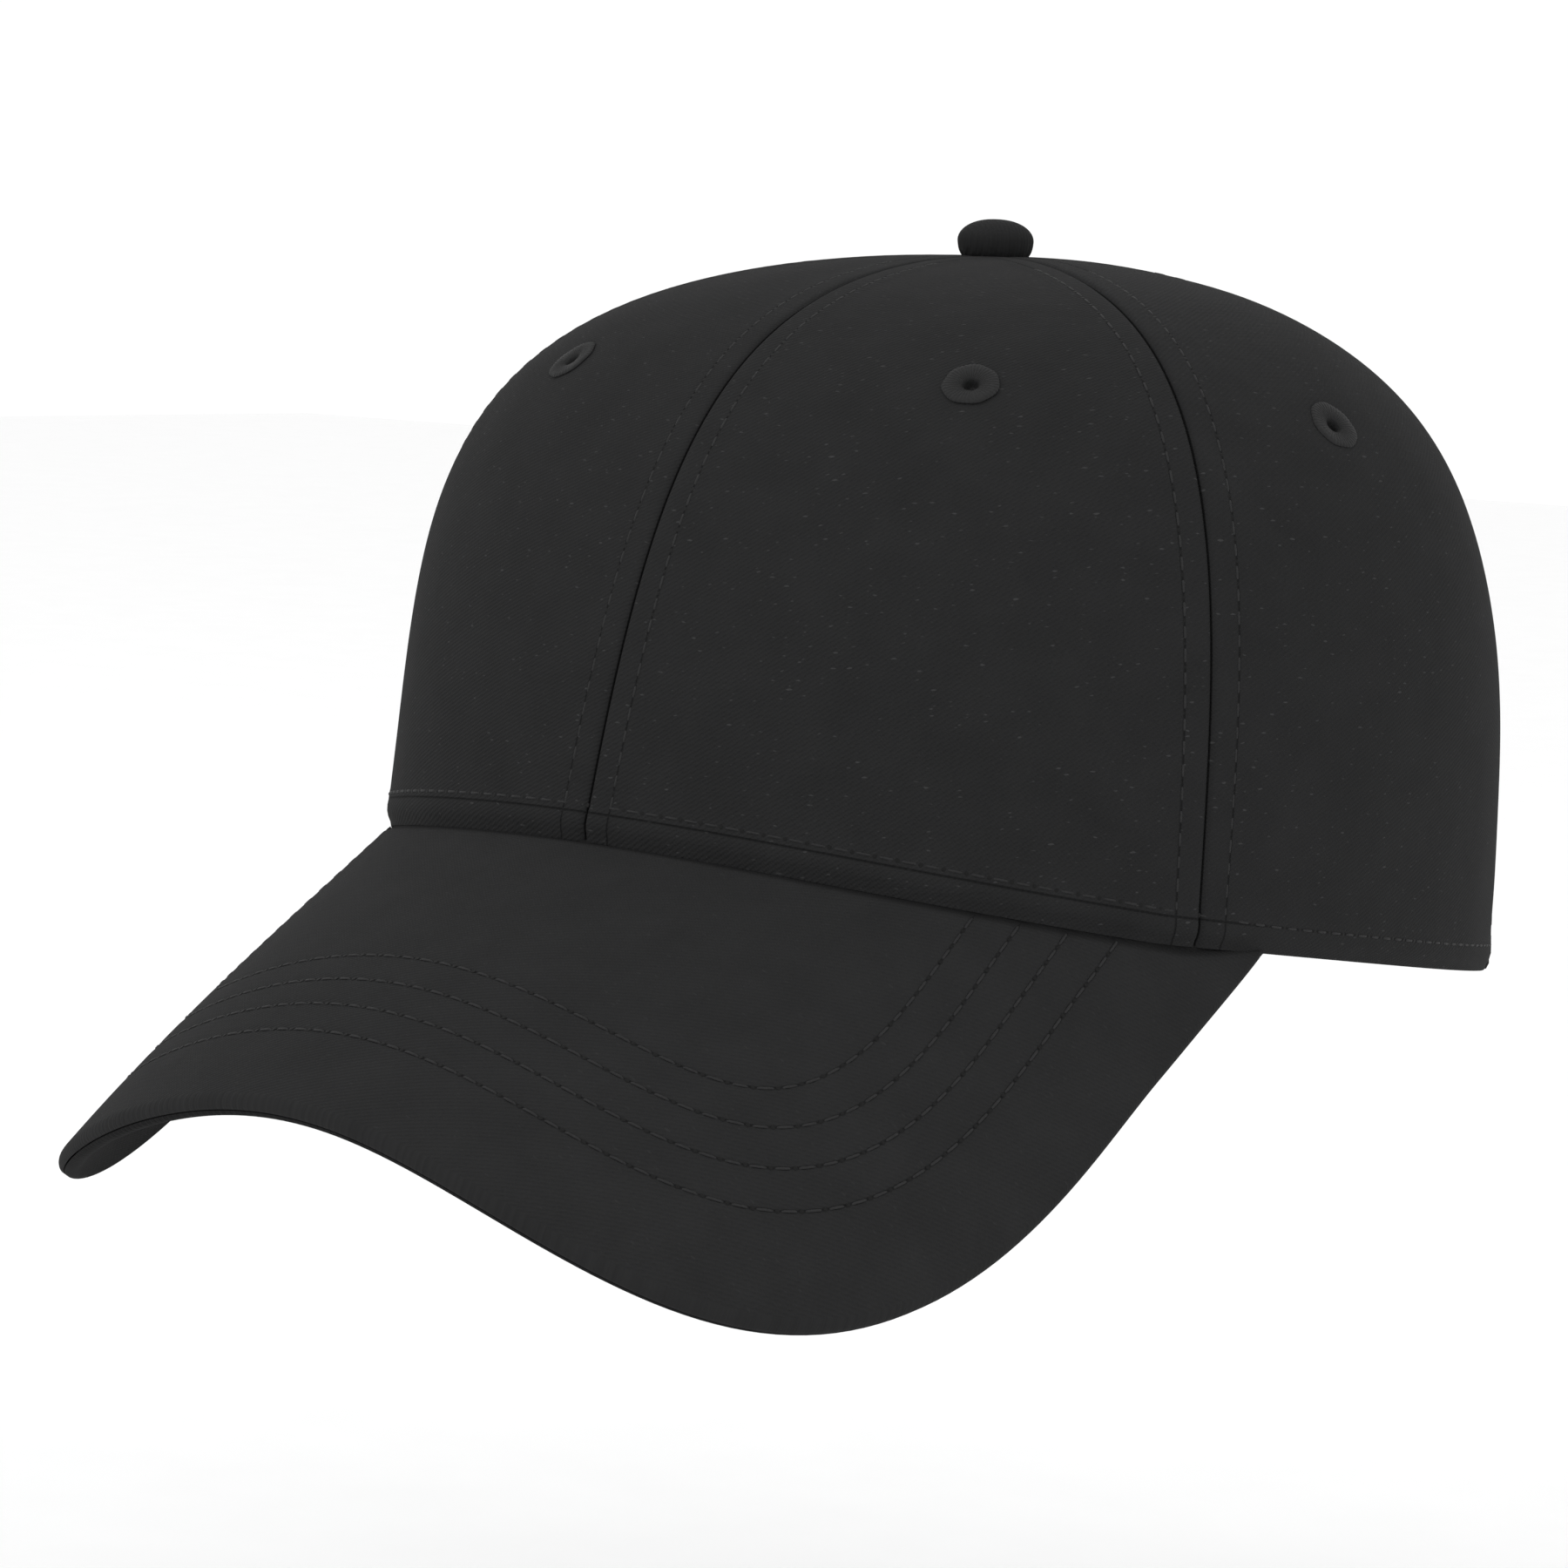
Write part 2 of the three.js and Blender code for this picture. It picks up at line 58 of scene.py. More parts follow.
# ---------------- crown dimensions
HALF_WIDTH = 89.0
HALF_LENGTH = 100.0
CENTRE_Y = -1.3
APEX_Y = 3.8
CROWN_HEIGHT = 111.0
RIM_TILT = 0.149
TOP_HANDLE = (78.4, 106.0, 47.0)  # front, side and back handles of each meridian's curve
RIM_HANDLE = (63.0, 54.0, 73.5)
RIM_LEAN = (13.3, -8.4, 17.1)  # degrees by which the wall leans in at the rim
TOP_SLOPE = 0.022  # fall of the handles at the button towards the front
RIM_FLARE = (3.3, 0.9)  # how far the rim's front and back corners stand out from its oval
FRONT_SEAM = radians(62.4)
BACK_SEAM = radians(126)
PANEL_TOP = 0.012
PANEL_DEPTHS = (0.0, 0.9)
BUCKRAM_DEPTHS = (1.25, 1.75)
PANEL_DIP = 1.0  # how far the cloth passes the rim
ARCH_HALF_ANGLE = radians(31.9)
ARCH_HEIGHT = 56.0
EYELETS = {"front": radians(37.8), "side": radians(81.4), "back": radians(148)}
EYELET_DOWN = 0.41
EYELET_HOLE = 2.6  # radius of the hole in the cloth
SEAM_ROW = 4.6  # from a seam to its top stitching
HEM_ROW = 4.5  # from the rim to the stitching of the sweatband
STITCH_RISE = 0.06
ARCH_ROWS = (2.0, 7.4)  # from the half-moon's edge to its two rows of stitching

# ---------------- inside dimensions
SEAM_TAPES = {
    "front_centre_seam_tape": 0.0,
    "front_seam_tape_left": FRONT_SEAM,
    "front_seam_tape_right": -FRONT_SEAM,
    "back_seam_tape_left": BACK_SEAM,
    "back_seam_tape_right": -BACK_SEAM,
    "back_centre_seam_tape": math.pi,
}
TAPE_HALF_WIDTH = 7.0
TAPE_ROW = 1.6  # from a tape's edge to its stitching
TAPE_START = CROWN_HEIGHT - 0.9
TAPE_DEPTHS = (2.45, 2.9)
BINDING_EDGES = (0.4, 8.6)  # from the half-moon's edge
BINDING_DEPTHS = (1.25, 1.7)
LABEL_HALF_ANGLE = 8.6  # degrees
LABEL_LENGTH = 14.5
LABEL_TOP = ARCH_HEIGHT + 26
LABEL_DEPTHS = (3.25, 3.55)
BAND_HEIGHT = 30.0
BAND_OUTER = 3.3
BAND_INNER = 4.7
PUFF_LIMIT = 1.1
PUFF_STEPS = 18

# ---------------- brim dimensions
BRIM_END = radians(71.8)
BRIM_RISE = 4.8
BRIM_RISE_POWER = 1.28
BRIM_PITCH = radians(23.4)
BRIM_ORIGIN = np.array([0.0, -101.3, 21.2])
BRIM_RADIUS = 103.5
BRIM_FLARE = -0.231
BRIM_MAX_SLOPE = radians(60.7)
BRIM_DROOP = 0.00118
BRIM_CENTRE = -31.8
BRIM_OUTLINE = (111.3, 2.1, 2.8, -0.5, -9.8)  # cosine terms of its reach on the flat sheet
BRIM_OUTLINE_END = radians(104.5)
BRIM_TAPER_FROM = radians(84)  # beyond this angle the outline draws in to the seam
BRIM_TAPER = 40.0  # millimetres for each square radian
BRIM_TUCK = (1.1, 1.9)  # depth in the wall that the brim reaches, at its middle and ends
BRIM_DROP = (0.3, -2.0)  # from the rim down to the brim: its ends rise behind the panels
BRIM_ENDS_FROM = 0.84  # share of the way round at which the brim's ends begin
BRIM_THICKNESS = 3.8
BRIM_END_THINNING = 0.45
BOARD_DEPTH = (1.0, 2.7)
BOARD_REACH = 0.95
COVER_THICKNESS = 0.6
BRIM_ROW_FIRST = 16.8  # from the edge to the outermost row of stitching
BRIM_ROW_PITCH = 6.43
BRIM_ROWS = 4
BRIM_ROW_SINK = 0.1
BRIM_SHADE = (0.8, 1.5)  # place and half width where the brim meets the crown: a groove in the cloth, and painted shade darkening its colour there

# ---------------- button and closure
BUTTON_RADIUS = 6.5
BUTTON_HEIGHT = 6.2
STRAP_MIDDLE = 13.0  # height above the rim
STRAP_HALF_WIDTH = 10.0
STRAP_OVERLAP = 12.8  # degrees by which a strap passes the back centre
STRAP_SEWN_END = 41.0  # degrees from the back centre, as are the angles below
STRAP_TIP = 8.0
STRAP_STEP = (24.5, 28.5)  # between these the strap steps to the depth of its sewn tab
STRAP_BEND = (28.6, 24.6)  # angles for a bend of the strap, where it would begin and where it would move as a whole; nothing bends it
STRAP_DEGREE = 1.55  # millimetres along a strap for each degree
SNAP_ANGLES = [-10 + 5 * k for k in range(7)]
HOLE_STRAP_DEPTH = (1.4, 2.6)
PEG_STRAP_DEPTH = (2.9, 4.1)
TAB_DEPTH = (2.0, 3.0)


# ---------------- crown surface
def vectors(x, y, z):
    return np.stack(np.broadcast_arrays(x, y, z), axis=-1).astype(float)


def unit(v):
    return v / np.maximum(np.linalg.norm(v, axis=-1, keepdims=True), 1e-12)


def around(handle, azimuth):
    """A value given at the front, side and back, blended smoothly round the crown."""
    front, side, back = handle
    c = np.cos(azimuth)
    return side + (front - back) / 2 * c + ((front + back) / 2 - side) * c * c


def meridian(azimuth, t):
    """Points of the cubic curves that run from the button, t = 0, to the rim, t = 1."""
    azimuth, t = np.broadcast_arrays(np.asarray(azimuth, float), np.asarray(t, float))
    x = HALF_WIDTH * np.sin(azimuth)
    y = CENTRE_Y - HALF_LENGTH * np.cos(azimuth)
    out = unit(vectors(x, y - APEX_Y, 0))
    lean = np.radians(around(RIM_LEAN, azimuth))
    reach = around(RIM_HANDLE, azimuth)
    apex = np.array([0, APEX_Y, CROWN_HEIGHT])
    rim = vectors(x, y, -RIM_TILT * y)
    top = apex + out * around(TOP_HANDLE, azimuth)[..., None]
    top[..., 2] += TOP_SLOPE * around(TOP_HANDLE, azimuth) * out[..., 1]
    low = rim - out * (reach * np.sin(lean))[..., None]
    low[..., 2] += reach * np.cos(lean)
    flare = np.where(np.cos(azimuth) > 0, *RIM_FLARE) * np.sin(2 * azimuth) ** 2
    rim = rim + out * flare[..., None]
    t = t[..., None]
    s = 1 - t
    return s**3 * apex + 3 * s * s * t * top + 3 * s * t * t * low + t**3 * rim


def crown_normal(azimuth, t):
    t1 = np.maximum(t, 0.02)
    down = meridian(azimuth, t1 + 0.01) - meridian(azimuth, t1 - 0.01)
    across = meridian(azimuth + 0.01, t1) - meridian(azimuth - 0.01, t1)
    return unit(np.cross(down, across))


def crown(azimuth, t, out=0.0):
    """Points a given distance out from the crown's surface."""
    out = np.asarray(out, float)
    return meridian(azimuth, t) + crown_normal(azimuth, t) * out[..., None]


def down_to(azimuth, z):
    """The shares t at which the crown has come down to a height."""
    above = np.zeros(np.broadcast(azimuth, z).shape)
    below = np.ones_like(above)
    for _ in range(26):
        middle = (above + below) / 2
        high = meridian(azimuth, middle)[..., 2] > z
        above = np.where(high, middle, above)
        below = np.where(high, below, middle)
    return below


def rim_height(azimuth):
    """The rim falls to the back, and rises over the brim."""
    azimuth = np.asarray(azimuth, float)
    y = CENTRE_Y - HALF_LENGTH * np.cos(azimuth)
    turn = np.abs(np.mod(azimuth + math.pi, 2 * math.pi) - math.pi) / BRIM_END
    rise = BRIM_RISE * np.cos(np.minimum(turn, 1) * math.pi / 2) ** BRIM_RISE_POWER
    return rise - RIM_TILT * y


def wall_t(azimuth, height):
    return down_to(azimuth, rim_height(azimuth) + height)


def wall(azimuth, height, out):
    return crown(azimuth, wall_t(azimuth, height), out)


def lower_edge(azimuth):
    """Height above the rim of a panel's lower edge, which rises over the half-moon."""
    share = np.abs(math.pi - np.abs(azimuth)) / ARCH_HALF_ANGLE
    beside = smoothstep((share - 1.0) / 0.12)
    return ARCH_HEIGHT * np.sqrt(np.maximum(1 - share * share, 0)) - PANEL_DIP * beside


def distances_along(points, axis):
    """Running length of a point grid along one of its axes."""
    steps = np.linalg.norm(np.diff(points, axis=axis), axis=-1)
    lengths = np.cumsum(steps, axis=axis)
    start = np.zeros_like(np.take(lengths, [0], axis=axis))
    return np.concatenate([start, lengths], axis=axis)


def distance_to_line(points, line):
    flat = points.reshape(-1, points.shape[-1])
    nearest = np.full(len(flat), np.inf)
    for a, b in zip(line[:-1], line[1:]):
        step = b - a
        share = np.clip((flat - a) @ step / max(step @ step, 1e-9), 0, 1)
        nearest = np.minimum(nearest, np.linalg.norm(flat - a - share[:, None] * step, axis=1))
    return nearest.reshape(points.shape[:-1])


def smoothstep(x):
    x = np.clip(x, 0, 1)
    return x * x * (3 - 2 * x)


def dent(distance, width):
    return np.exp(-((distance / width) ** 2))


def full_turn(count):
    return np.linspace(0, 2 * math.pi, count, endpoint=False)


# ---------------- mesh making
SHARP_ANGLE = radians(50)


def mesh_object(name, vertices, faces, **fields):
    """An object from points in millimetres. Fields are vectors kept on its points for materials."""
    vertices = np.asarray(vertices, float).reshape(-1, 3) * MM
    mesh = bpy.data.meshes.new(name)
    mesh.from_pydata(vertices.tolist(), [], faces)
    for key, values in fields.items():
        layer = mesh.attributes.new(key, "FLOAT_VECTOR", "POINT")
        layer.data.foreach_set("vector", np.asarray(values, np.float32).ravel())
    made = bpy.data.objects.new(name, mesh)
    bpy.context.scene.collection.objects.link(made)
    mesh.update()
    face_out(mesh)
    mesh.polygons.foreach_set("use_smooth", [True] * len(mesh.polygons))
    mesh.set_sharp_from_angle(angle=SHARP_ANGLE)
    return made


def face_out(mesh):
    """Turns all faces round if the closed mesh is inside out."""
    volume = sum(face.center.dot(face.normal) * face.area for face in mesh.polygons)
    if volume < 0:
        mesh.flip_normals()


def slab(name, outer, inner, keep=None, **fields):
    """A closed sheet between two point grids. Cells that are not kept become holes through it."""
    columns, rows = outer.shape[:2]
    if keep is None:
        keep = np.ones((columns - 1, rows - 1), bool)
    index = np.arange(columns * rows).reshape(columns, rows)
    a, b = index[:-1, :-1][keep], index[1:, :-1][keep]
    c, d = index[1:, 1:][keep], index[:-1, 1:][keep]
    under = columns * rows
    faces = [np.stack([a, b, c, d], 1), np.stack([a, d, c, b], 1) + under]
    fence = np.pad(keep, 1)
    for (di, dj), first, last in (
        ((0, -1), index[:-1, :-1], index[1:, :-1]),
        ((1, 0), index[1:, :-1], index[1:, 1:]),
        ((0, 1), index[1:, 1:], index[:-1, 1:]),
        ((-1, 0), index[:-1, 1:], index[:-1, :-1]),
    ):
        bare = keep & ~fence[1 + di : columns + di, 1 + dj : rows + dj]
        p, q = first[bare], last[bare]
        faces.append(np.stack([q, p, p + under, q + under], 1))
    quads = np.concatenate(faces)
    used, quads = np.unique(quads, return_inverse=True)
    points = np.concatenate([outer.reshape(-1, 3), inner.reshape(-1, 3)])[used]
    kept = {}
    for key, values in fields.items():
        flat = np.asarray(values, float).reshape(-1, 3)
        kept[key] = np.concatenate([flat, flat])[used]
    return mesh_object(name, points, quads.reshape(-1, 4).tolist(), **kept)


def ring_mesh(name, points, **fields):
    """A surface over a point grid that closes on itself both ways."""
    index = np.arange(points.shape[0] * points.shape[1]).reshape(points.shape[:2])
    next_ring = np.roll(index, -1, 0)
    quads = np.stack([index, next_ring, np.roll(next_ring, -1, 1), np.roll(index, -1, 1)], -1)
    return mesh_object(name, points, quads.reshape(-1, 4).tolist(), **fields)


def finish_piece(piece, material, replaces=()):
    """Gives a piece its look, attaches it to the crown's body and hides the parts it replaces."""
    piece.data.materials.append(material)
    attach(piece, "crown")
    if replaces:
        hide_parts(*replaces)


def field(a, b):
    return vectors(a, b, 0.0)


# ---------------- materials
class Look:
    """A material built node by node. Sockets made here can feed each other."""

    def __init__(self, name, roughness, metallic=0.0, **sockets):
        self.material = bpy.data.materials.new(name)
        self.material.use_nodes = True
        self.tree = self.material.node_tree
        self.shader = self.tree.nodes["Principled BSDF"]
        self.shader.inputs["Roughness"].default_value = roughness
        self.shader.inputs["Metallic"].default_value = metallic
        for key, value in sockets.items():
            self.shader.inputs[key.replace("_", " ")].default_value = value

    def node(self, kind, inputs, **settings):
        made = self.tree.nodes.new("ShaderNode" + kind)
        for key, value in settings.items():
            setattr(made, key, value)
        for key, value in inputs.items():
            if isinstance(value, bpy.types.NodeSocket):
                self.tree.links.new(value, made.inputs[key])
            else:
                made.inputs[key].default_value = value
        return made

    def math(self, operation, *values, clamp=False):
        made = self.node("Math", dict(enumerate(values)), operation=operation, use_clamp=clamp)
        return made.outputs[0]

    def coordinates(self, name):
        """The three parts of a vector kept on the mesh."""
        source = self.node("Attribute", {}, attribute_name=name)
        parts = self.node("SeparateXYZ", {"Vector": source.outputs["Vector"]})
        return parts.outputs

    def noise(self, u, v, scale, detail=2.0, stretch=(1.0, 1.0)):
        vector = self.node(
            "CombineXYZ",
            {"X": self.math("MULTIPLY", u, stretch[0]), "Y": self.math("MULTIPLY", v, stretch[1])},
        )
        made = self.node(
            "TexNoise",
            {"Vector": vector.outputs[0], "Scale": scale, "Detail": detail, "Roughness": 0.6},
        )
        return made.outputs["Fac"]

    def grain(self, scale, detail=2.0):
        """Noise in the object's own space."""
        spot = self.node("TexCoord", {}).outputs["Object"]
        made = self.node("TexNoise", {"Vector": spot, "Scale": scale, "Detail": detail})
        return made.outputs["Fac"]

    def wave(self, value, pitch):
        return self.math("SINE", self.math("MULTIPLY", value, 2 * math.pi / pitch))

    def near(self, value, place, half_width):
        """1 at the place, falling to 0 at the half width."""
        away = self.math("ABSOLUTE", self.math("SUBTRACT", value, place))
        return self.math("SUBTRACT", 1.0, self.math("DIVIDE", away, half_width), clamp=True)

    def mix(self, share, a, b):
        made = self.node("Mix", {0: share}, data_type="RGBA")
        for key, value in ((6, a), (7, b)):
            if isinstance(value, bpy.types.NodeSocket):
                self.tree.links.new(value, made.inputs[key])
            else:
                made.inputs[key].default_value = (*value, 1.0)
        return made.outputs[2]

    def colour(self, socket):
        self.tree.links.new(socket, self.shader.inputs["Base Color"])

    def roughness(self, socket):
        self.tree.links.new(socket, self.shader.inputs["Roughness"])

    def bump(self, height, depth_mm):
        made = self.node("Bump", {"Height": height, "Distance": depth_mm * MM, "Strength": 1.0})
        self.tree.links.new(made.outputs["Normal"], self.shader.inputs["Normal"])


def shade(colour, factor):
    return tuple(part * factor for part in colour)


def woven(name, colour, pitch=0.62, rib=1.0, rows=(), specks=0.0, relief=0.1, sheen=0.01):
    """Twill cloth. rows are (part of the 'place' field, distance, half width) of lines drawn darker
    and sunk in: sewn lines, and on the brim also the painted shade where it meets the crown.

    The height adds up the twill, the crossing threads, ribs and fibre; the tone, 0 to 1, goes
    from a darker to a lighter shade; specks are the share of colour in the few light flecks.
    """
    look = Look(name, 0.95, Sheen_Weight=sheen, Sheen_Roughness=0.5, Specular_IOR_Level=0.05)
    u, v, _ = look.coordinates("weave")
    threads = look.math("MULTIPLY", look.wave(u, pitch), look.wave(v, pitch))
    twill = look.wave(look.math("ADD", u, look.math("MULTIPLY", v, 1.7)), pitch * 2.2)
    ribs = look.noise(u, v, 1.0, 3.0, (0.12, 1.3))
    mottle = look.noise(u, v, 0.09, 3.0)
    fibre = look.noise(u, v, 2.3, 2.0, (0.7, 1.4))
    height = look.math("MULTIPLY_ADD", twill, 0.3, look.math("MULTIPLY", threads, 0.22))
    height = look.math("MULTIPLY_ADD", ribs, 1.5 * rib, height)
    height = look.math("MULTIPLY_ADD", fibre, 0.7, height)
    tone = look.math("MULTIPLY_ADD", mottle, 0.8, look.math("MULTIPLY", fibre, 0.6))
    tone = look.math("MULTIPLY_ADD", twill, 0.08, look.math("SUBTRACT", tone, 0.2), clamp=True)
    cloth = look.mix(tone, shade(colour, 0.78), shade(colour, 1.22))
    if specks:
        dots = look.noise(u, v, 1.5, 0.0, (0.5, 1.4))
        share = look.math("MULTIPLY", look.math("SUBTRACT", dots, 0.76), 16.0, clamp=True)
        cloth = look.mix(look.math("MULTIPLY", share, specks), cloth, shade(colour, 3.0))
    place = look.coordinates("place")
    # sewn gathers the rows to darken and sink: sewn lines, and on the brim also the painted shade
    # where it meets the crown
    sewn = None
    for part, distance, half_width in rows:
        line = look.near(place[part], distance, half_width)
        sewn = line if sewn is None else look.math("MAXIMUM", sewn, line)
    if sewn is not None:
        cloth = look.mix(look.math("MULTIPLY", sewn, 0.6), cloth, shade(colour, 0.2))
        height = look.math("MULTIPLY_ADD", sewn, -2.2, height)
    look.colour(cloth)
    look.bump(height, relief)
    return look.material


def thread(name, colour):
    """Sewing thread: two plies that wind round each other."""
    look = Look(name, 0.7, Sheen_Weight=0.02, Specular_IOR_Level=0.2)
    plies = look.grain(2600.0, 1.0)
    look.colour(look.mix(plies, shade(colour, 0.6), shade(colour, 1.5)))
    look.bump(plies, 0.08)
    return look.material


def moulded(name, colour, roughness):
    """Moulded plastic with a fine grain and a little variation in its gloss."""
    look = Look(name, roughness, Specular_IOR_Level=0.35)
    broad = look.grain(60.0)
    look.colour(look.mix(broad, shade(colour, 0.85), shade(colour, 1.2)))
    look.roughness(look.math("MULTIPLY_ADD", broad, 0.16, roughness - 0.08))
    look.bump(look.grain(900.0, 3.0), 0.012)
    return look.material


def pressed_steel(name):
    look = Look(name, 0.35, 1.0)
    spot = look.node("TexCoord", {}).outputs["Object"]
    stretched = look.node("Mapping", {"Vector": spot, "Scale": (300.0, 300.0, 4000.0)})
    scratches = look.node("TexNoise", {"Vector": stretched.outputs[0], "Scale": 1.0}).outputs["Fac"]
    look.colour(look.mix(scratches, (0.42, 0.42, 0.43), (0.62, 0.62, 0.63)))
    look.roughness(look.math("MULTIPLY_ADD", scratches, 0.25, 0.25))
    look.bump(scratches, 0.01)
    return look.material


CHARCOAL = (0.0188, 0.0189, 0.0192)
SEAM_LINES = ((0, 0.0, 0.17), (0, SEAM_ROW, 0.26))
ARCH_LINES = tuple((1, row, 0.26) for row in ARCH_ROWS)
BRIM_LINES = tuple((1, BRIM_ROW_FIRST + BRIM_ROW_PITCH * k, 0.3) for k in range(BRIM_ROWS))
CLOTH = woven("crown_twill", CHARCOAL, rows=SEAM_LINES + ((1, HEM_ROW, 0.26),), specks=0.55)
ARCH_CLOTH = woven("back_twill", CHARCOAL, rows=SEAM_LINES + ARCH_LINES, specks=0.4)
# The brim's last row is painted shade, darkening the cloth where the brim meets the crown.
# The brim's top is the crown's cloth made 8% lighter: painted light for its more brightly lit face.
BRIM_CLOTH = woven(
    "brim_twill", shade(CHARCOAL, 1.08), rib=0.35, rows=BRIM_LINES + ((0,) + BRIM_SHADE,), specks=0.12
)
# The brim's underside is the crown's cloth at 0.6 of its tone: painted shade for the shadow under the
# brim.
SHADED_UNDER_CLOTH = woven("under_brim_twill_painted_shade", shade(CHARCOAL, 0.6), rib=0.35, rows=BRIM_LINES)
BUTTON_CLOTH = woven("button_twill", CHARCOAL, rib=0.3)
TAPE_CLOTH = woven("seam_tape", (0.009, 0.009, 0.0093), pitch=0.9, rib=0.2, relief=0.12)
BAND_CLOTH = woven("sweatband_twill", (0.011, 0.011, 0.0113), pitch=0.75, rib=0.5, relief=0.12)
BUCKRAM = woven("buckram_gauze", (0.62, 0.61, 0.57), pitch=1.3, rib=0.2, relief=0.25, sheen=0.0)
LABEL_SATIN = woven("label_satin", (0.6, 0.6, 0.59), pitch=0.4, rib=0.2, relief=0.05)
THREAD = thread("black_thread", (0.0165, 0.0165, 0.0168))
EYELET_THREAD = thread("eyelet_thread", (0.0125, 0.0126, 0.0128))
# Needle holes are near-black domes: painted shade in the holes where the thread goes in.
NEEDLE_HOLE_SHADE = thread("needle_hole", (0.003, 0.003, 0.003))
PLASTIC = moulded("satin_black_plastic", (0.010, 0.010, 0.0103), 0.42)
BOARD_PLASTIC = moulded("brim_board_plastic", (0.03, 0.03, 0.03), 0.6)
STEEL = pressed_steel("pressed_steel")


# ---------------- stitching
STITCH_SIDES = full_turn(8)
NEEDLE_HOLE = ((-0.25, 0.3), (0.035, 0.36), (0.06, 0.22))  # height and radius of each ring


def add_tube(target, rings):
    """Adds a tube through rings of points, closed at both ends, to lists of points and faces."""
    vertices, faces = target
    start = len(vertices)
    count, sides = rings.shape[:2]
    vertices.extend(rings.reshape(-1, 3))
    for i in range(count - 1):
        a, b = start + i * sides, start + (i + 1) * sides
        for j in range(sides):
            k = (j + 1) % sides
            faces.append((a + j, a + k, b + k, b + j))
    last = start + (count - 1) * sides
    faces.append(tuple(start + j for j in reversed(range(sides))))
    faces.append(tuple(last + j for j in range(sides)))


class Stitching:
    """Collects rows of stitches, each a short thread that dives into the cloth at both ends."""

    def __init__(self, pitch=3.5, length=2.7, radius=0.16):
        self.pitch, self.length, self.radius = pitch, length, radius
        self.threads = [[], []]
        self.holes = [[], []]

    def row(self, points, normals):
        along = distances_along(points, 0)
        count = max(int(along[-1] / self.pitch), 1)
        pitch = along[-1] / count
        for k in range(count):
            middle = (k + 0.5) * pitch
            half = self.length / 2 * (1 + 0.07 * math.sin(3.1 * k))
            places = np.linspace(middle - half, middle + half, 6)
            self._thread(*self._sample(along, points, normals, places))
            spots, up = self._sample(along, points, normals, np.array([k * pitch]))
            self._hole(spots[0], up[0])

    @staticmethod
    def _sample(along, points, normals, places):
        spots, up = (
            np.stack([np.interp(places, along, values[:, k]) for k in range(3)], 1)
            for values in (points, normals)
        )
        return spots, unit(up)

    def _thread(self, spots, up):
        share = np.linspace(-1, 1, len(spots))
        lift = 0.3 * self.radius - 1.5 * self.radius * share**6
        run = unit(np.gradient(spots, axis=0))
        side = unit(np.cross(run, up))
        width = self.radius * (1.25 - 0.45 * share**4)
        rings = (
            spots[:, None]
            + up[:, None] * lift[:, None, None]
            + side[:, None] * (width[:, None] * np.cos(STITCH_SIDES))[..., None]
            + up[:, None] * (0.6 * width[:, None] * np.sin(STITCH_SIDES))[..., None]
        )
        add_tube(self.threads, rings)

    def _hole(self, spot, up):
        side = unit(np.cross(up, [0.3, 0.5, 0.8]))
        other = np.cross(up, side)
        spokes = side * np.cos(STITCH_SIDES)[:, None] + other * np.sin(STITCH_SIDES)[:, None]
        rings = [spot + up * height + spokes * radius for height, radius in NEEDLE_HOLE]
        add_tube(self.holes, np.array(rings))

    def build(self, name):
        finish_piece(mesh_object(name, *self.threads), THREAD)
        # The dark domes at the needle holes are painted shade.
        holes = mesh_object(name + "_needle_holes", *self.holes)
        finish_piece(holes, NEEDLE_HOLE_SHADE)


# ---------------- crown panels
def seam_profile(distance):
    """Height of the cloth beside a seam: it turns down into it and lies over its allowance."""
    ridge = 0.18 * smoothstep(distance / 1.4) * (1 - smoothstep((distance - 4.9) / 2.2))
    return ridge - 0.42 * dent(distance, 0.32) - 0.1 * dent(distance - SEAM_ROW, 0.6)


def hem_profile(distance):
    roll = -1.1 * dent(distance, 1.7)
    ridge = 0.22 * (1 - smoothstep((distance - HEM_ROW) / 2.0))
    return roll + ridge - 0.12 * dent(distance - HEM_ROW, 0.7)


def arch_profile(distance):
    fold = 0.3 * (1 - smoothstep((distance - ARCH_ROWS[1] - 0.5) / 2.0)) - 0.6 * dent(distance, 0.7)
    return fold - sum(0.12 * dent(distance - row, 0.7) for row in ARCH_ROWS)


def eased(first, last, count):
    """Stations that lie closer at both ends."""
    x = np.linspace(0, 1, count + 1)
    return first + (last - first) * (0.3 * x + 0.7 * (0.5 - 0.5 * np.cos(math.pi * x)))


def back_stations():
    edge = math.pi - ARCH_HALF_ANGLE
    turn = math.pi / 2 * np.sin(math.pi / 2 * np.linspace(0, 1, 52))
    return np.concatenate([eased(BACK_SEAM, edge, 30), math.pi - ARCH_HALF_ANGLE * np.cos(turn[1:])])


STATIONS = {
    "front": eased(0, FRONT_SEAM, 62),
    "side": eased(FRONT_SEAM, BACK_SEAM, 62),
    "back": back_stations(),
}
PANEL_ROWS = 96
# Where a piece begins near the button, its height above the lower edge, and its inset at each seam.
PANEL_EXTENT = (PANEL_TOP, 0.0, 0.06)
BUCKRAM_EXTENT = (0.08, 4.5, 1.2)
TAPE_REACH = (18.0, 30.0)  # radii between which the tape begins to lie behind a seam


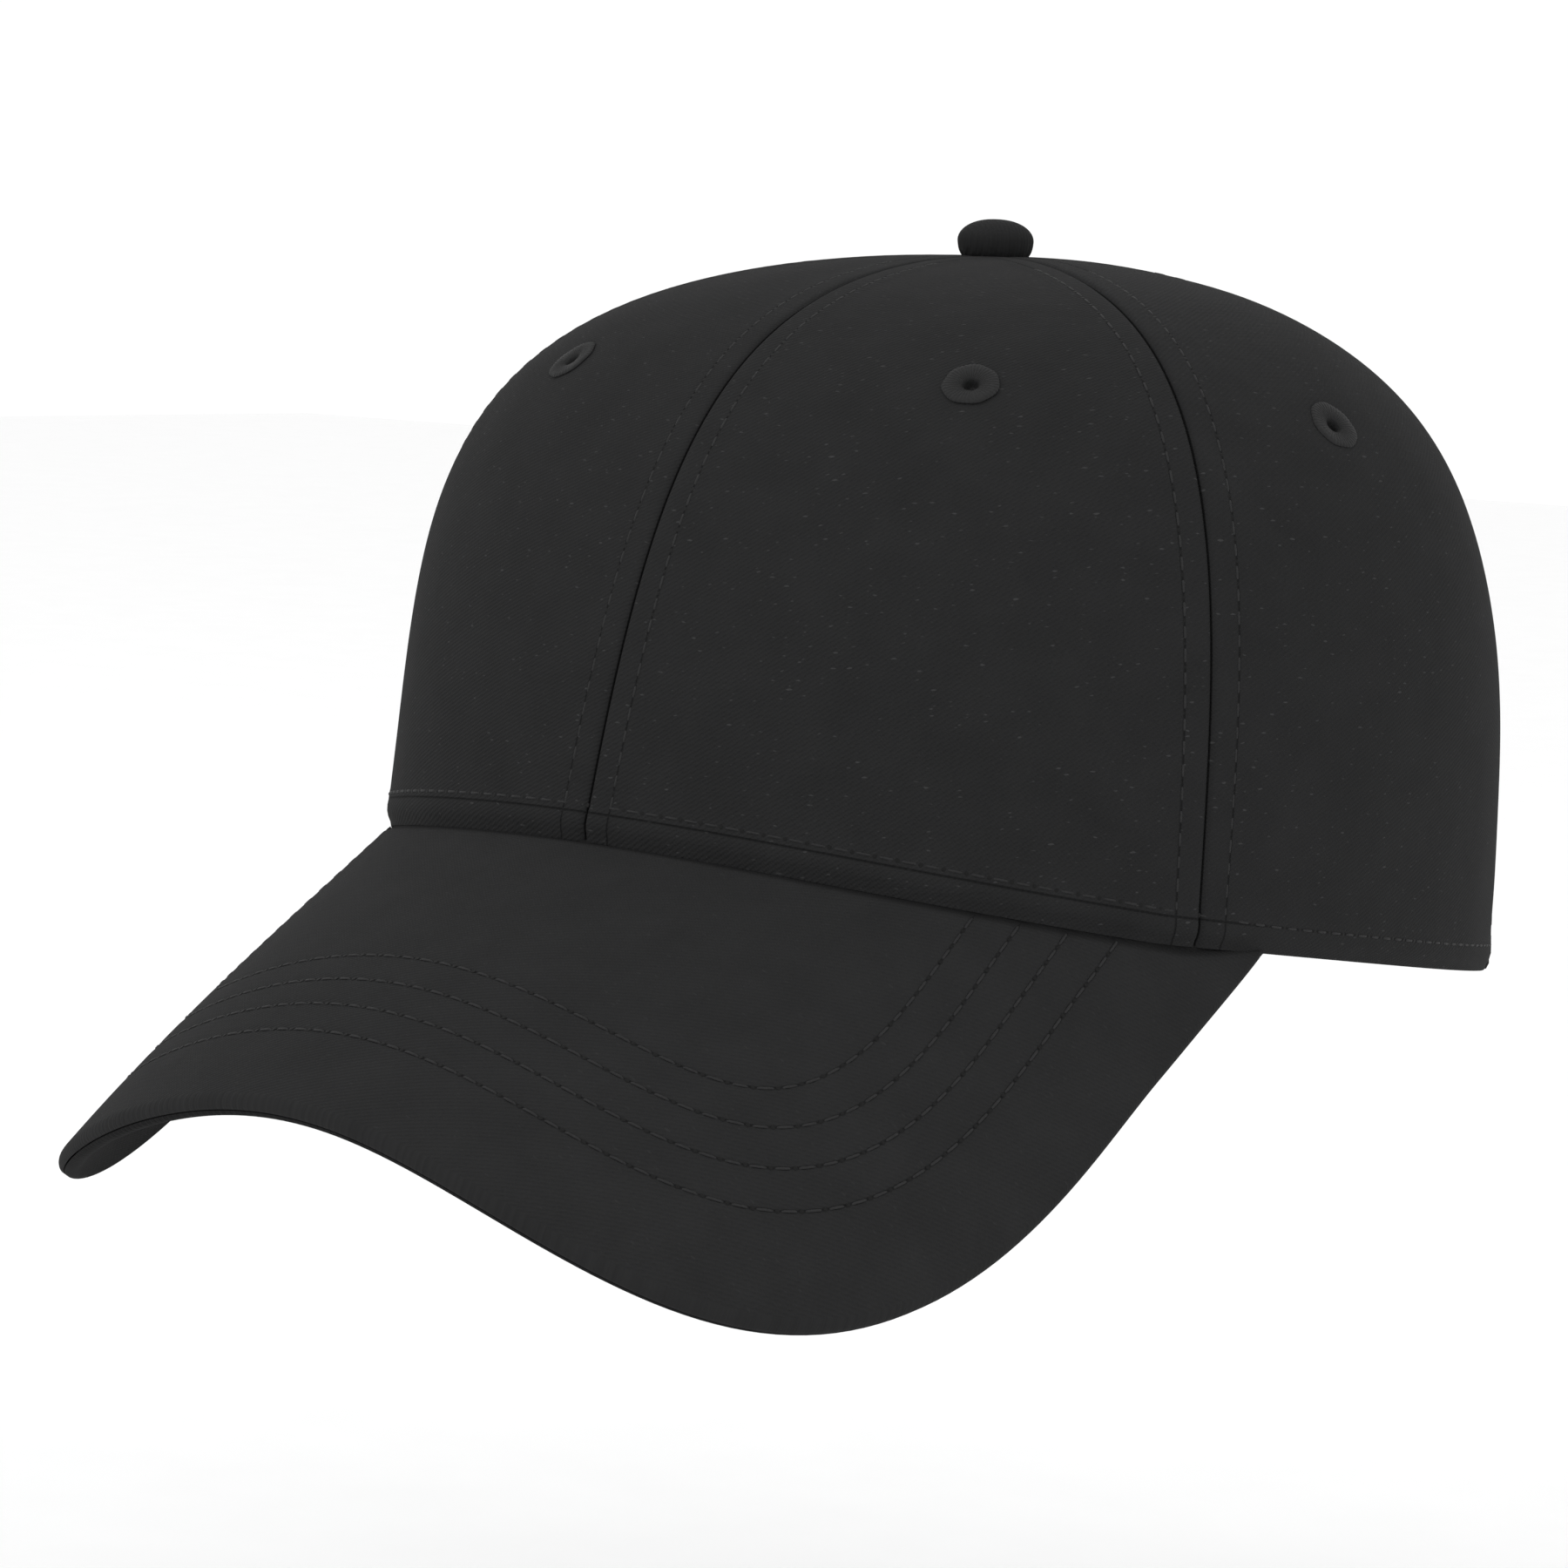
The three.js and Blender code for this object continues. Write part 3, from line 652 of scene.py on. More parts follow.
def panel_grid(place, top, above, inset):
    """Azimuths and shares of the way down for a piece's points."""
    stations = STATIONS[place][:, None]
    x = np.linspace(0, 1, PANEL_ROWS + 1)[None, :]
    down = 0.5 * x + 0.5 * np.sin(math.pi / 2 * x)
    bottom = wall_t(stations, lower_edge(stations) + above)
    t = top + (bottom - top) * down
    radius = np.linalg.norm(meridian(stations, t)[..., :2] - [0, APEX_Y], axis=-1)
    share = (stations - stations[0]) / (stations[-1] - stations[0])
    backed = smoothstep((radius - TAPE_REACH[0]) / (TAPE_REACH[1] - TAPE_REACH[0]))
    azimuth = stations + (1 - 2 * share) * inset * backed / radius
    return azimuth, t


def panel_undulation(u, v, phase):
    swell = 0.7 * np.sin(u / 17.0 + phase) * np.sin(v / 23.0 + 2 * phase)
    return 0.16 * swell + 0.07 * np.sin(u / 6.1 + v / 9.7 + phase)


def crown_piece(name, place, side, depths, material, relief=True, extent=PANEL_EXTENT):
    azimuth, t = panel_grid(place, *extent)
    base = meridian(azimuth, t)
    normal = crown_normal(azimuth, t)
    left = distances_along(base, 0)
    right = left[-1:] - left
    v = distances_along(base, 1)
    to_seam = np.minimum(left, right)
    to_edge = distance_to_line(base, base[:, -1])
    middle = left - left[-1:] / 2
    height = np.zeros_like(v)
    if relief:
        narrow = smoothstep(left[-1:] / 26)
        calm = smoothstep((to_seam - 5) / 12) * smoothstep((to_edge - 5) / 12)
        height = seam_profile(to_seam) * narrow
        height += calm * panel_undulation(middle, v, side + azimuth[0, 0])
        height += (arch_profile if place == "back" else hem_profile)(to_edge)
    centre = crown(EYELETS[place], EYELET_DOWN)
    to_eyelet = np.linalg.norm(base - centre, axis=-1)
    height -= 0.3 * dent(to_eyelet, 5.5) * relief
    cells = (to_eyelet[:-1, :-1] + to_eyelet[1:, :-1] + to_eyelet[:-1, 1:] + to_eyelet[1:, 1:]) / 4
    skins = [(base + normal * (height - depth)[..., None]) * [side, 1, 1] for depth in depths]
    piece = slab(
        name + ".fine",
        *skins,
        cells > EYELET_HOLE,
        weave=field(middle * side, v),
        place=field(to_seam, to_edge),
    )
    finish_piece(piece, material, replaces=[name])


def crown_panels():
    for hand, side in (("left", 1), ("right", -1)):
        for place in EYELETS:
            cloth = ARCH_CLOTH if place == "back" else CLOTH
            crown_piece(f"{place}_panel_{hand}", place, side, PANEL_DEPTHS, cloth)
        crown_piece(
            f"front_buckram_{hand}", "front", side, BUCKRAM_DEPTHS, BUCKRAM,
            relief=False, extent=BUCKRAM_EXTENT,
        )


def beside_seam(seam, offset, t):
    """Azimuths at a distance beside a seam."""
    rate = np.linalg.norm(meridian(seam + 0.01, t) - meridian(seam - 0.01, t), axis=-1) / 0.02
    return seam + offset / rate


ARCH_SPREAD = ARCH_HALF_ANGLE / (HALF_WIDTH * math.sin(ARCH_HALF_ANGLE))


def beside_arch(turn, out):
    """Azimuths and heights at a distance outside the edge of the half-moon."""
    azimuth = math.pi - (ARCH_HALF_ANGLE + out * ARCH_SPREAD) * np.cos(turn)
    return azimuth, (ARCH_HEIGHT + out) * np.sin(turn)


def crown_stitching():
    rows = Stitching()

    def sew(azimuth, t):
        rows.row(crown(azimuth, t, STITCH_RISE), crown_normal(azimuth, t))

    for seam in SEAM_TAPES.values():
        for offset in (-SEAM_ROW, SEAM_ROW):
            above_edge = HEM_ROW if seam < math.pi else ARCH_ROWS[1] + 1
            t = np.linspace(0.11, float(wall_t(seam, lower_edge(seam) + above_edge)), 160)
            sew(beside_seam(seam, offset, t), t)
    reach = math.pi - ARCH_HALF_ANGLE - 0.02
    azimuth = np.linspace(-reach, reach, 500)
    sew(azimuth, wall_t(azimuth, HEM_ROW))
    for out in ARCH_ROWS:
        azimuth, height = beside_arch(np.linspace(0.06, math.pi - 0.06, 240), out)
        sew(azimuth, wall_t(azimuth, height))
    rows.build("crown_top_stitching")


# ---------------- eyelets
EYELET_PROFILE = [
    (4.4, -0.4), (4.5, -0.08), (4.3, 0.12), (3.8, 0.22), (3.1, 0.24), (2.3, 0.16), (1.55, -0.1),
    (1.15, -0.5), (1.05, -1.4), (1.2, -2.3), (1.9, -2.8), (3.0, -3.0), (3.9, -2.9), (4.1, -2.6),
    (3.6, -2.35), (2.3, -2.1), (2.05, -1.2), (2.3, -0.55),
]
EYELET_THREADS = 40


def place_on_crown(points, azimuth, t):
    """Turns points whose +Z is outwards onto the crown's surface."""
    normal = crown_normal(azimuth, t)
    down = unit(meridian(azimuth, t + 0.01) - meridian(azimuth, t - 0.01))
    across = np.cross(down, normal)
    basis = np.stack([across, down, normal])
    return meridian(azimuth, t) + points @ basis


def eyelets():
    """Each is a ring of satin stitches over the edge of the hole, seen from both sides."""
    turns = full_turn(EYELET_THREADS * 5)
    profile = np.array(EYELET_PROFILE)
    ridge = 0.1 * np.abs(np.sin(turns * EYELET_THREADS / 2)) - 0.05
    centre = profile.mean(axis=0)
    outward = unit(profile - centre)
    section = profile[None] + outward[None] * ridge[:, None, None]
    wobble = 1 + 0.02 * np.sin(3 * turns) + 0.015 * np.sin(7 * turns + 1)
    radius = section[..., 0] * wobble[:, None]
    ring = vectors(radius * np.cos(turns)[:, None], radius * np.sin(turns)[:, None], section[..., 1])
    for place, azimuth in EYELETS.items():
        for hand, side in (("left", 1), ("right", -1)):
            points = place_on_crown(ring, side * azimuth, EYELET_DOWN)
            node = f"{place}_eyelet_{hand}"
            piece = ring_mesh(node + ".fine", points)
            finish_piece(piece, EYELET_THREAD, replaces=[node])


# ---------------- inside of the crown
def tape_slab(name, azimuth, t, depths, to_edge, along):
    height = -0.14 * dent(to_edge - TAPE_ROW, 0.5) + 0.1 * dent(to_edge, 0.6)
    base = meridian(azimuth, t)
    normal = crown_normal(azimuth, t)
    piece = slab(
        name + ".fine",
        base - normal * depths[0],
        base - normal * (depths[1] + height)[..., None],
        weave=field(to_edge, along),
        place=field(to_edge, along),
    )
    finish_piece(piece, TAPE_CLOTH, replaces=[name])


def seam_tapes():
    rows = Stitching(pitch=3.5, length=2.6, radius=0.17)
    for name, seam in SEAM_TAPES.items():
        offset = np.linspace(-TAPE_HALF_WIDTH, TAPE_HALF_WIDTH, 23)[:, None]
        bottom = float(wall_t(seam, lower_edge(seam) + 0.5))
        start = float(down_to(seam, TAPE_START))
        t = np.linspace(start, bottom, 90)[None, :]
        azimuth = beside_seam(seam, offset, t)
        t = np.broadcast_to(t, azimuth.shape)
        along = distances_along(meridian(azimuth, t), 1)
        to_edge = TAPE_HALF_WIDTH - np.abs(offset) + 0 * along
        tape_slab(name, azimuth, t, TAPE_DEPTHS, to_edge, along)
        down = np.linspace(start + 0.02, bottom, 160)
        for side in (-1, 1):
            line = beside_seam(seam, side * (TAPE_HALF_WIDTH - TAPE_ROW), down)
            rows.row(crown(line, down, -TAPE_DEPTHS[1] - 0.02), -crown_normal(line, down))
    rows.build("tape_stitching")


def arch_binding():
    first, last = BINDING_EDGES
    out = np.linspace(first, last, 14)[None, :]
    azimuth, height = beside_arch(np.linspace(0, math.pi, 120)[:, None], out)
    t = wall_t(azimuth, np.maximum(height, 0.3))
    to_edge = np.minimum(out - first, last - out) + 0 * azimuth
    along = distances_along(meridian(azimuth, t), 0)
    tape_slab("arch_binding", azimuth, t, BINDING_DEPTHS, to_edge, along)


def woven_label():
    """A blank label, sewn at its two short edges."""
    across = np.linspace(-LABEL_HALF_ANGLE, LABEL_HALF_ANGLE, 24)[:, None]
    down = np.linspace(0, LABEL_LENGTH, 18)[None, :]
    azimuth = math.pi + np.radians(across) + 0 * down
    t = wall_t(azimuth, LABEL_TOP - down)
    base, normal = meridian(azimuth, t), crown_normal(azimuth, t)
    edge = np.minimum(LABEL_HALF_ANGLE - np.abs(across), np.minimum(down, LABEL_LENGTH - down))
    bulge = 0.25 * smoothstep(edge / 3.0) + 0.05 * np.sin(down * 0.9 + across * 0.3)
    piece = slab(
        "woven_label.fine",
        base - normal * LABEL_DEPTHS[0],
        base - normal * (LABEL_DEPTHS[1] + bulge)[..., None],
        weave=field(across, down),
        place=field(edge, edge),
    )
    finish_piece(piece, LABEL_SATIN, replaces=["woven_label"])


def sweatband():
    """A folded strip with foam inside, sewn along its lower edge; it fills out between its rows."""
    reach = math.pi - ARCH_HALF_ANGLE - radians(1.5)
    azimuth = np.linspace(-reach, reach, 241)[:, None]
    down = np.linspace(0, 1, 17)[None, :]
    t = wall_t(azimuth, BAND_HEIGHT + (0.3 - BAND_HEIGHT) * down)
    azimuth = azimuth + 0 * down
    base, normal = meridian(azimuth, t), crown_normal(azimuth, t)
    along = distances_along(base, 0)
    height = distances_along(base, 1)
    to_edge = np.minimum(height, height[:, -1:] - height)
    wave = 0.1 * np.sin(along / 4.3) * np.sin(height / 7.0 + along / 31.0)
    inner = BAND_INNER + 0.35 * smoothstep(to_edge / 4.0) + wave * smoothstep(to_edge / 6.0)
    piece = slab(
        "sweatband",
        base - normal * BAND_OUTER,
        base - normal * inner[..., None],
        weave=field(along, height),
        place=field(along, to_edge),
    )
    loose = np.zeros(azimuth.shape, bool)
    loose[3:-3, 2:-2] = True
    held = np.concatenate([np.ones(loose.size, bool), ~loose.ravel()])
    puff(piece, held)
    finish_piece(piece, BAND_CLOTH, replaces=["sweatband_foam", "sweatband_facing"])


def puff(piece, held):
    """Fills a closed piece with pressure while the held points stay where they are sewn."""
    mesh = piece.data
    before = np.empty(len(mesh.vertices) * 3)
    mesh.vertices.foreach_get("co", before)
    pins = piece.vertex_groups.new(name="held")
    pins.add([int(k) for k in np.flatnonzero(held)], 1.0, "REPLACE")
    cloth = piece.modifiers.new("cloth", "CLOTH")
    cloth.settings.quality = 6
    cloth.settings.mass = 0.2
    cloth.settings.tension_stiffness = 12
    cloth.settings.compression_stiffness = 12
    cloth.settings.bending_stiffness = 0.4
    cloth.settings.use_pressure = True
    cloth.settings.uniform_pressure_force = 3.0
    cloth.settings.vertex_group_mass = "held"
    cloth.settings.effector_weights.gravity = 0.0
    cloth.collision_settings.use_collision = False
    scene = bpy.context.scene
    for step in range(1, PUFF_STEPS + 1):
        scene.frame_set(step)
    settled = piece.evaluated_get(bpy.context.evaluated_depsgraph_get())
    after = np.empty_like(before)
    settled.to_mesh().vertices.foreach_get("co", after)
    settled.to_mesh_clear()
    scene.frame_set(1)
    piece.modifiers.clear()
    piece.vertex_groups.clear()
    move = (after - before).reshape(-1, 3)
    length = np.linalg.norm(move, axis=1, keepdims=True)
    move *= np.minimum(1, PUFF_LIMIT * MM / np.maximum(length, 1e-9))
    mesh.vertices.foreach_set("co", before + move.ravel())
    mesh.update()


# ---------------- brim
BRIM_FORWARD = np.array([0, -math.cos(BRIM_PITCH), -math.sin(BRIM_PITCH)])
BRIM_UP = np.array([0, -math.sin(BRIM_PITCH), math.cos(BRIM_PITCH)])


def brim_surface(u, s):
    """The bent sheet: across it an arc up to the greatest slope, then straight."""
    radius = BRIM_RADIUS + BRIM_FLARE * s
    bent = np.minimum(np.abs(u), radius * BRIM_MAX_SLOPE)
    straight = np.abs(u) - bent
    x = radius * np.sin(bent / radius) + straight * math.cos(BRIM_MAX_SLOPE)
    fall = radius * (1 - np.cos(bent / radius)) + straight * math.sin(BRIM_MAX_SLOPE)
    point = BRIM_ORIGIN + s[..., None] * BRIM_FORWARD
    point = point - (fall + BRIM_DROOP * s * s)[..., None] * BRIM_UP
    return point + vectors(np.sign(u) * x, 0, 0)


def brim_ends(across):
    """0 over most of the brim, rising to 1 at its ends."""
    return smoothstep((np.abs(across) - BRIM_ENDS_FROM) / (1 - BRIM_ENDS_FROM))


def brim_seam(azimuth):
    """Where the crown's edge lies on the flat sheet, and how far it is above the bent one."""
    ends = brim_ends(azimuth / BRIM_END)
    tuck = BRIM_TUCK[0] + (BRIM_TUCK[1] - BRIM_TUCK[0]) * ends
    seam = wall(azimuth, np.zeros_like(azimuth), -tuck)
    seam[..., 2] -= BRIM_DROP[0] + (BRIM_DROP[1] - BRIM_DROP[0]) * ends
    away = seam - BRIM_ORIGIN
    s = away @ BRIM_FORWARD
    radius = BRIM_RADIUS + BRIM_FLARE * s
    u = radius * np.arcsin(away[..., 0] / radius)
    lift = away @ BRIM_UP - (brim_surface(u, s) - BRIM_ORIGIN) @ BRIM_UP
    return u, s, lift


def brim_outline(turn):
    """The brim's outer edge on the flat sheet."""
    reach = sum(term * np.cos(k * turn) for k, term in enumerate(BRIM_OUTLINE))
    reach = reach - BRIM_TAPER * np.maximum(0, np.abs(turn) - BRIM_TAPER_FROM) ** 2
    return reach * np.sin(turn), BRIM_CENTRE + reach * np.cos(turn)


def brim_sheet(across, out):
    """Place on the flat sheet, and the seam's lift, for shares across and out."""
    u0, s0, lift = brim_seam(across * BRIM_END)
    u1, s1 = brim_outline(across * BRIM_OUTLINE_END)
    return u0 + (u1 - u0) * out, s0 + (s1 - s0) * out, lift * (1 - out) ** 2


def brim_point(across, out):
    u, s, lift = brim_sheet(across, out)
    return brim_surface(u, s) + lift[..., None] * BRIM_UP


def brim_frame(across, out):
    step = 0.004
    side = brim_point(across + step, out) - brim_point(across - step, out)
    outward = unit(brim_point(across, out + step) - brim_point(across, out - step))
    normal = unit(np.cross(side, outward))
    return brim_point(across, out), outward, normal * np.where(normal[..., 2:] < 0, -1, 1)


BRIM_COLUMNS = 180
BRIM_FLAT_ROWS = 110
BRIM_ROLL_STEPS = 12
ROLL_END = radians(86)


def edge_distance(u, s):
    turn = np.linspace(-BRIM_OUTLINE_END, BRIM_OUTLINE_END, 260)
    line = np.stack(brim_outline(turn), -1)
    return distance_to_line(np.stack([u, s], -1), line)


def brim_profile(distance):
    """Height of the cloth, drawn in along each row of stitching."""
    rows = BRIM_ROW_FIRST + BRIM_ROW_PITCH * np.arange(BRIM_ROWS)
    return -sum(0.16 * dent(distance - row, 0.8) for row in rows)


def brim_cover(name, face):
    """A cover cloth over one face of the board, turned round the edge to its middle."""
    x = np.linspace(-1, 1, BRIM_COLUMNS + 1)[:, None]
    half = BRIM_THICKNESS / 2 * (1 - BRIM_END_THINNING * brim_ends(x))
    width = np.linalg.norm(brim_point(x, x * 0 + 1) - brim_point(x, x * 0), axis=-1)
    roll = 1 - np.minimum(half / width, 0.5)
    j = np.arange(BRIM_FLAT_ROWS + BRIM_ROLL_STEPS + 1)[None, :]
    out = roll * np.minimum(j / BRIM_FLAT_ROWS, 1)
    across = x + 0 * out
    turn = ROLL_END * np.maximum(0, (j - BRIM_FLAT_ROWS) / BRIM_ROLL_STEPS) + 0 * out
    point, outward, normal = brim_frame(across, out)
    u, s, _ = brim_sheet(across, out)
    distance = edge_distance(u, s)
    from_seam = width * out
    height = brim_profile(distance) - 0.12 * dent(turn - ROLL_END, 0.2)
    height = height - 0.45 * dent(from_seam - BRIM_SHADE[0], 1.0)
    middle = point - normal * half[..., None]
    skins = []
    for depth in (-height, COVER_THICKNESS + 0 * height):
        reach = (half - depth)[..., None]
        skins.append(
            middle
            + face * normal * reach * np.cos(turn)[..., None]
            + outward * reach * np.sin(turn)[..., None]
        )
    piece = slab(name + ".fine", *skins, weave=field(u, s), place=field(from_seam, distance))
    cloth = BRIM_CLOTH if face > 0 else SHADED_UNDER_CLOTH
    finish_piece(piece, cloth, replaces=[name])


def brim_board():
    x = np.linspace(-BOARD_REACH, BOARD_REACH, 91)[:, None]
    out = np.linspace(0.02, 0.955, 40)[None, :]
    point, _, normal = brim_frame(x + 0 * out, out + 0 * x)
    thin = 1 - BRIM_END_THINNING * brim_ends(x + 0 * out)
    skins = [point - normal * (depth * thin)[..., None] for depth in BOARD_DEPTH]
    piece = slab("brim_board.fine", *skins)
    finish_piece(piece, BOARD_PLASTIC, replaces=["brim_board"])


def sheet_place(u, s):
    """Shares across and out at which the flat sheet has the given places."""
    grid = np.meshgrid(np.linspace(-1, 1, 121), np.linspace(0, 1, 41), indexing="ij")
    across, out = (part.ravel() for part in grid)
    grid_u, grid_s, _ = brim_sheet(across, out)
    nearest = [np.argmin((grid_u - p) ** 2 + (grid_s - q) ** 2) for p, q in zip(u, s)]
    across, out = across[nearest], out[nearest]
    step = 1e-3
    for _ in range(4):
        here = np.stack(brim_sheet(across, out)[:2], -1)
        along = (np.stack(brim_sheet(across + step, out)[:2], -1) - here) / step
        outward = (np.stack(brim_sheet(across, out + step)[:2], -1) - here) / step
        missing = np.stack([u, s], -1) - here
        area = along[:, 0] * outward[:, 1] - along[:, 1] * outward[:, 0]
        across = across + (missing[:, 0] * outward[:, 1] - missing[:, 1] * outward[:, 0]) / area
        out = out + (along[:, 0] * missing[:, 1] - along[:, 1] * missing[:, 0]) / area
    return across, out


def brim_row(distance, face):
    """A line at a set distance from the brim's edge, as far as the crown."""
    turn = np.linspace(-BRIM_OUTLINE_END, BRIM_OUTLINE_END, 400)
    u, s = brim_outline(turn)
    du, ds = np.gradient(u), np.gradient(s)
    size = np.hypot(du, ds)
    u, s = u + distance * ds / size, s - distance * du / size
    seam_u, seam_s, _ = brim_seam(np.linspace(-BRIM_END, BRIM_END, 200))
    shown = s > np.interp(u, seam_u, seam_s) + 0.8
    across, out = sheet_place(u[shown], s[shown])
    point, _, normal = brim_frame(across, out)
    if face < 0:
        thickness = BRIM_THICKNESS * (1 - BRIM_END_THINNING * brim_ends(across))
        point = point - normal * thickness[:, None]
    return point - face * normal * BRIM_ROW_SINK, face * normal


def brim_stitching():
    for name, face in (("brim_top_stitching", 1), ("brim_under_stitching", -1)):
        rows = Stitching(pitch=3.7, length=2.8, radius=0.17)
        for k in range(BRIM_ROWS):
            rows.row(*brim_row(BRIM_ROW_FIRST + BRIM_ROW_PITCH * k, face))
        rows.build(name)


def brim():
    brim_cover("brim_top_cover", 1)
    brim_cover("brim_under_cover", -1)
    brim_stitching()
    brim_board()


# ---------------- button
def turned(profile, turns):
    """Rings of a profile of (radius, height) turned about the Z axis."""
    radius, height = np.array(profile, float).T
    turns = turns[:, None]
    return vectors(radius * np.cos(turns), radius * np.sin(turns), height)


def on_apex(points):
    return points + np.array([0, APEX_Y, CROWN_HEIGHT])


def button():
    lat = np.radians(np.linspace(-47, 89.5, 40))
    radius = BUTTON_RADIUS * np.cos(lat) ** np.where(lat > 0, 0.9, 0.4)
    height = BUTTON_HEIGHT * (0.41 + 0.59 * np.sin(lat))
    inner = np.stack([radius * 0.9, height * 0.9 + 0.1], 1)[::-1]
    profile = np.concatenate([np.stack([radius, height], 1), inner])
    turns = full_turn(120)
    points = turned(profile, turns)
    low = np.clip(-np.sin(np.concatenate([lat, lat[::-1]])), 0, 1)
    pleats = 1 + 0.03 * low * np.cos(16 * turns + 0.6 * np.sin(3 * turns))[:, None]
    points[..., :2] *= pleats[..., None]
    arc = distances_along(points, 1)
    weave = field(points[..., 0], points[..., 1])
    piece = ring_mesh("button_cover.fine", on_apex(points), weave=weave, place=field(arc, arc))
    finish_piece(piece, BUTTON_CLOTH, replaces=["button_cover"])
    dish = [(1.3, -1.5), (4.9, -1.35), (5.4, -1.5), (5.55, -1.75), (5.3, -1.95), (4.4, -1.9)]
    dish += [(3.6, -2.15), (2.4, -2.3), (1.5, -2.25), (1.3, -2.1)]
    washer = ring_mesh("button_washer.fine", on_apex(turned(dish, full_turn(72))))
    finish_piece(washer, STEEL, replaces=["button_washer"])
    for node in ("button_shell", "button_post"):
        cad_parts[node].data.materials.clear()
        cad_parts[node].data.materials.append(STEEL)


# ---------------- snap closure
def strap_grid(side, depth):
    """Both skins of a strap from its sewn end to its round tip, with softened edges."""
    tip_turn = np.linspace(0.04, 1, 16) * math.pi / 2
    tip = STRAP_TIP * (1 - np.sin(tip_turn)) - STRAP_OVERLAP
    angles = np.concatenate([np.linspace(STRAP_SEWN_END, STRAP_TIP - STRAP_OVERLAP, 76), tip])
    past = np.clip((STRAP_TIP - STRAP_OVERLAP - angles) / STRAP_TIP, 0, 0.9999)
    half = STRAP_HALF_WIDTH * np.sqrt(1 - past * past)
    across = np.sin(np.linspace(-1, 1, 25) * math.pi / 2)[None, :]
    height = STRAP_MIDDLE + half[:, None] * across
    azimuth = side * (math.pi - np.radians(angles))[:, None] + 0 * height
    t = wall_t(azimuth, height)
    sewn = smoothstep((angles - STRAP_STEP[0]) / (STRAP_STEP[1] - STRAP_STEP[0]))[:, None]
    outer = depth[0] + (TAB_DEPTH[0] - depth[0]) * sewn
    inner = depth[1] + (TAB_DEPTH[1] - depth[1]) * sewn
    to_edge = half[:, None] * (1 - np.abs(across))
    to_tip = np.maximum(angles + STRAP_OVERLAP, 0)[:, None] * STRAP_DEGREE
    soft = 0.35 * dent(np.minimum(to_edge, to_tip), 0.55)
    base, normal = meridian(azimuth, t), crown_normal(azimuth, t)
    return base - normal * (outer + soft)[..., None], base - normal * (inner - soft)[..., None]


def cut(piece, tools):
    """Takes the tools' shapes out of the piece."""
    for tool in tools:
        step = piece.modifiers.new("cut", "BOOLEAN")
        step.operation = "DIFFERENCE"
        step.solver = "EXACT"
        step.object = tool
    graph = bpy.context.evaluated_depsgraph_get()
    mesh = bpy.data.meshes.new_from_object(piece.evaluated_get(graph))
    piece.modifiers.clear()
    piece.data = mesh
    for tool in tools:
        bpy.data.objects.remove(tool)


def snap_place(side, angle):
    azimuth = side * (math.pi - radians(angle))
    return azimuth, float(wall_t(azimuth, STRAP_MIDDLE))


def turned_on_crown(name, profile, azimuth, t):
    return ring_mesh(name, place_on_crown(turned(profile, full_turn(40)), azimuth, t))


def join(name, objects):
    """One object out of several."""
    vertices, faces = [], []
    for part in objects:
        start = len(vertices)
        vertices.extend(np.array(v.co) / MM for v in part.data.vertices)
        faces.extend([tuple(start + k for k in face.vertices) for face in part.data.polygons])
        bpy.data.objects.remove(part)
    return mesh_object(name, vertices, faces)


def hole_strap():
    strap = slab("hole_strap", *strap_grid(1, HOLE_STRAP_DEPTH))
    cutters, collars = [], []
    top, under = -HOLE_STRAP_DEPTH[0], -HOLE_STRAP_DEPTH[1]
    for angle in SNAP_ANGLES:
        azimuth, t = snap_place(1, angle)
        plug = [(0.01, 4.0), (2.95, 4.0), (2.95, -6.0), (0.01, -6.0)]
        cutters.append(turned_on_crown("cutter", plug, azimuth, t))
        ring = [(2.9, top), (3.1, top + 0.28), (3.5, top + 0.3), (3.8, top), (3.8, top - 0.3)]
        ring += [(3.4, under + 0.1), (3.0, under + 0.1)]
        collars.append(turned_on_crown("collar", ring, azimuth, t))
    cut(strap, cutters)
    strap = join("hole_strap", [strap, *collars])
    strap_finish(strap, 1, ["snap_strap_holes", "strap_tab_left"])


def peg_strap():
    parts = [slab("peg_strap", *strap_grid(-1, PEG_STRAP_DEPTH))]
    face = -PEG_STRAP_DEPTH[0]
    for angle in SNAP_ANGLES:
        azimuth, t = snap_place(-1, angle)
        peg = [(0.01, -1.15), (0.9, -1.18), (1.6, -1.3), (2.0, -1.55), (2.05, -1.8), (1.75, -2.1)]
        peg += [(1.7, face + 0.25), (2.1, face + 0.02), (2.1, face - 0.4), (0.01, face - 0.4)]
        parts.append(turned_on_crown("peg", peg, azimuth, t))
    strap = join("peg_strap", parts)
    strap_finish(strap, -1, ["snap_strap_pegs", "strap_tab_right"])


def strap_finish(strap, side, nodes):
    """Gives a strap its plastic, bakes its place into its points and hides the parts it replaces. The
    ends of its bend are worked out but not used.
    """
    strap.data.materials.append(PLASTIC)
    bend = side * (math.pi - np.radians(STRAP_BEND))
    start, end = wall(bend, np.full(2, STRAP_MIDDLE), np.full(2, -TAB_DEPTH[0])) * MM
    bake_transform(strap)
    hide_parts(*nodes)


# ---------------- stage, light and camera
CAMERA_AZIMUTH = radians(37.26)
CAMERA_ELEVATION = radians(5.49)
CAMERA_ROLL = radians(2.2)
CAMERA_DISTANCE = 734.5
CAMERA_TARGET = Vector((0, -42.4, 42.4))
CAMERA_AIM = (-5.06, -18.7)  # from the target to the middle of the picture
CAMERA_LENS = 102.6
FLOOR_Z = -0.16  # metres, as are the floor's size and the lights' places
FLOOR_HALF = 4.0
WORLD_STRENGTH = 1.02
LIGHT_AIM = (0, 0, 0.03)


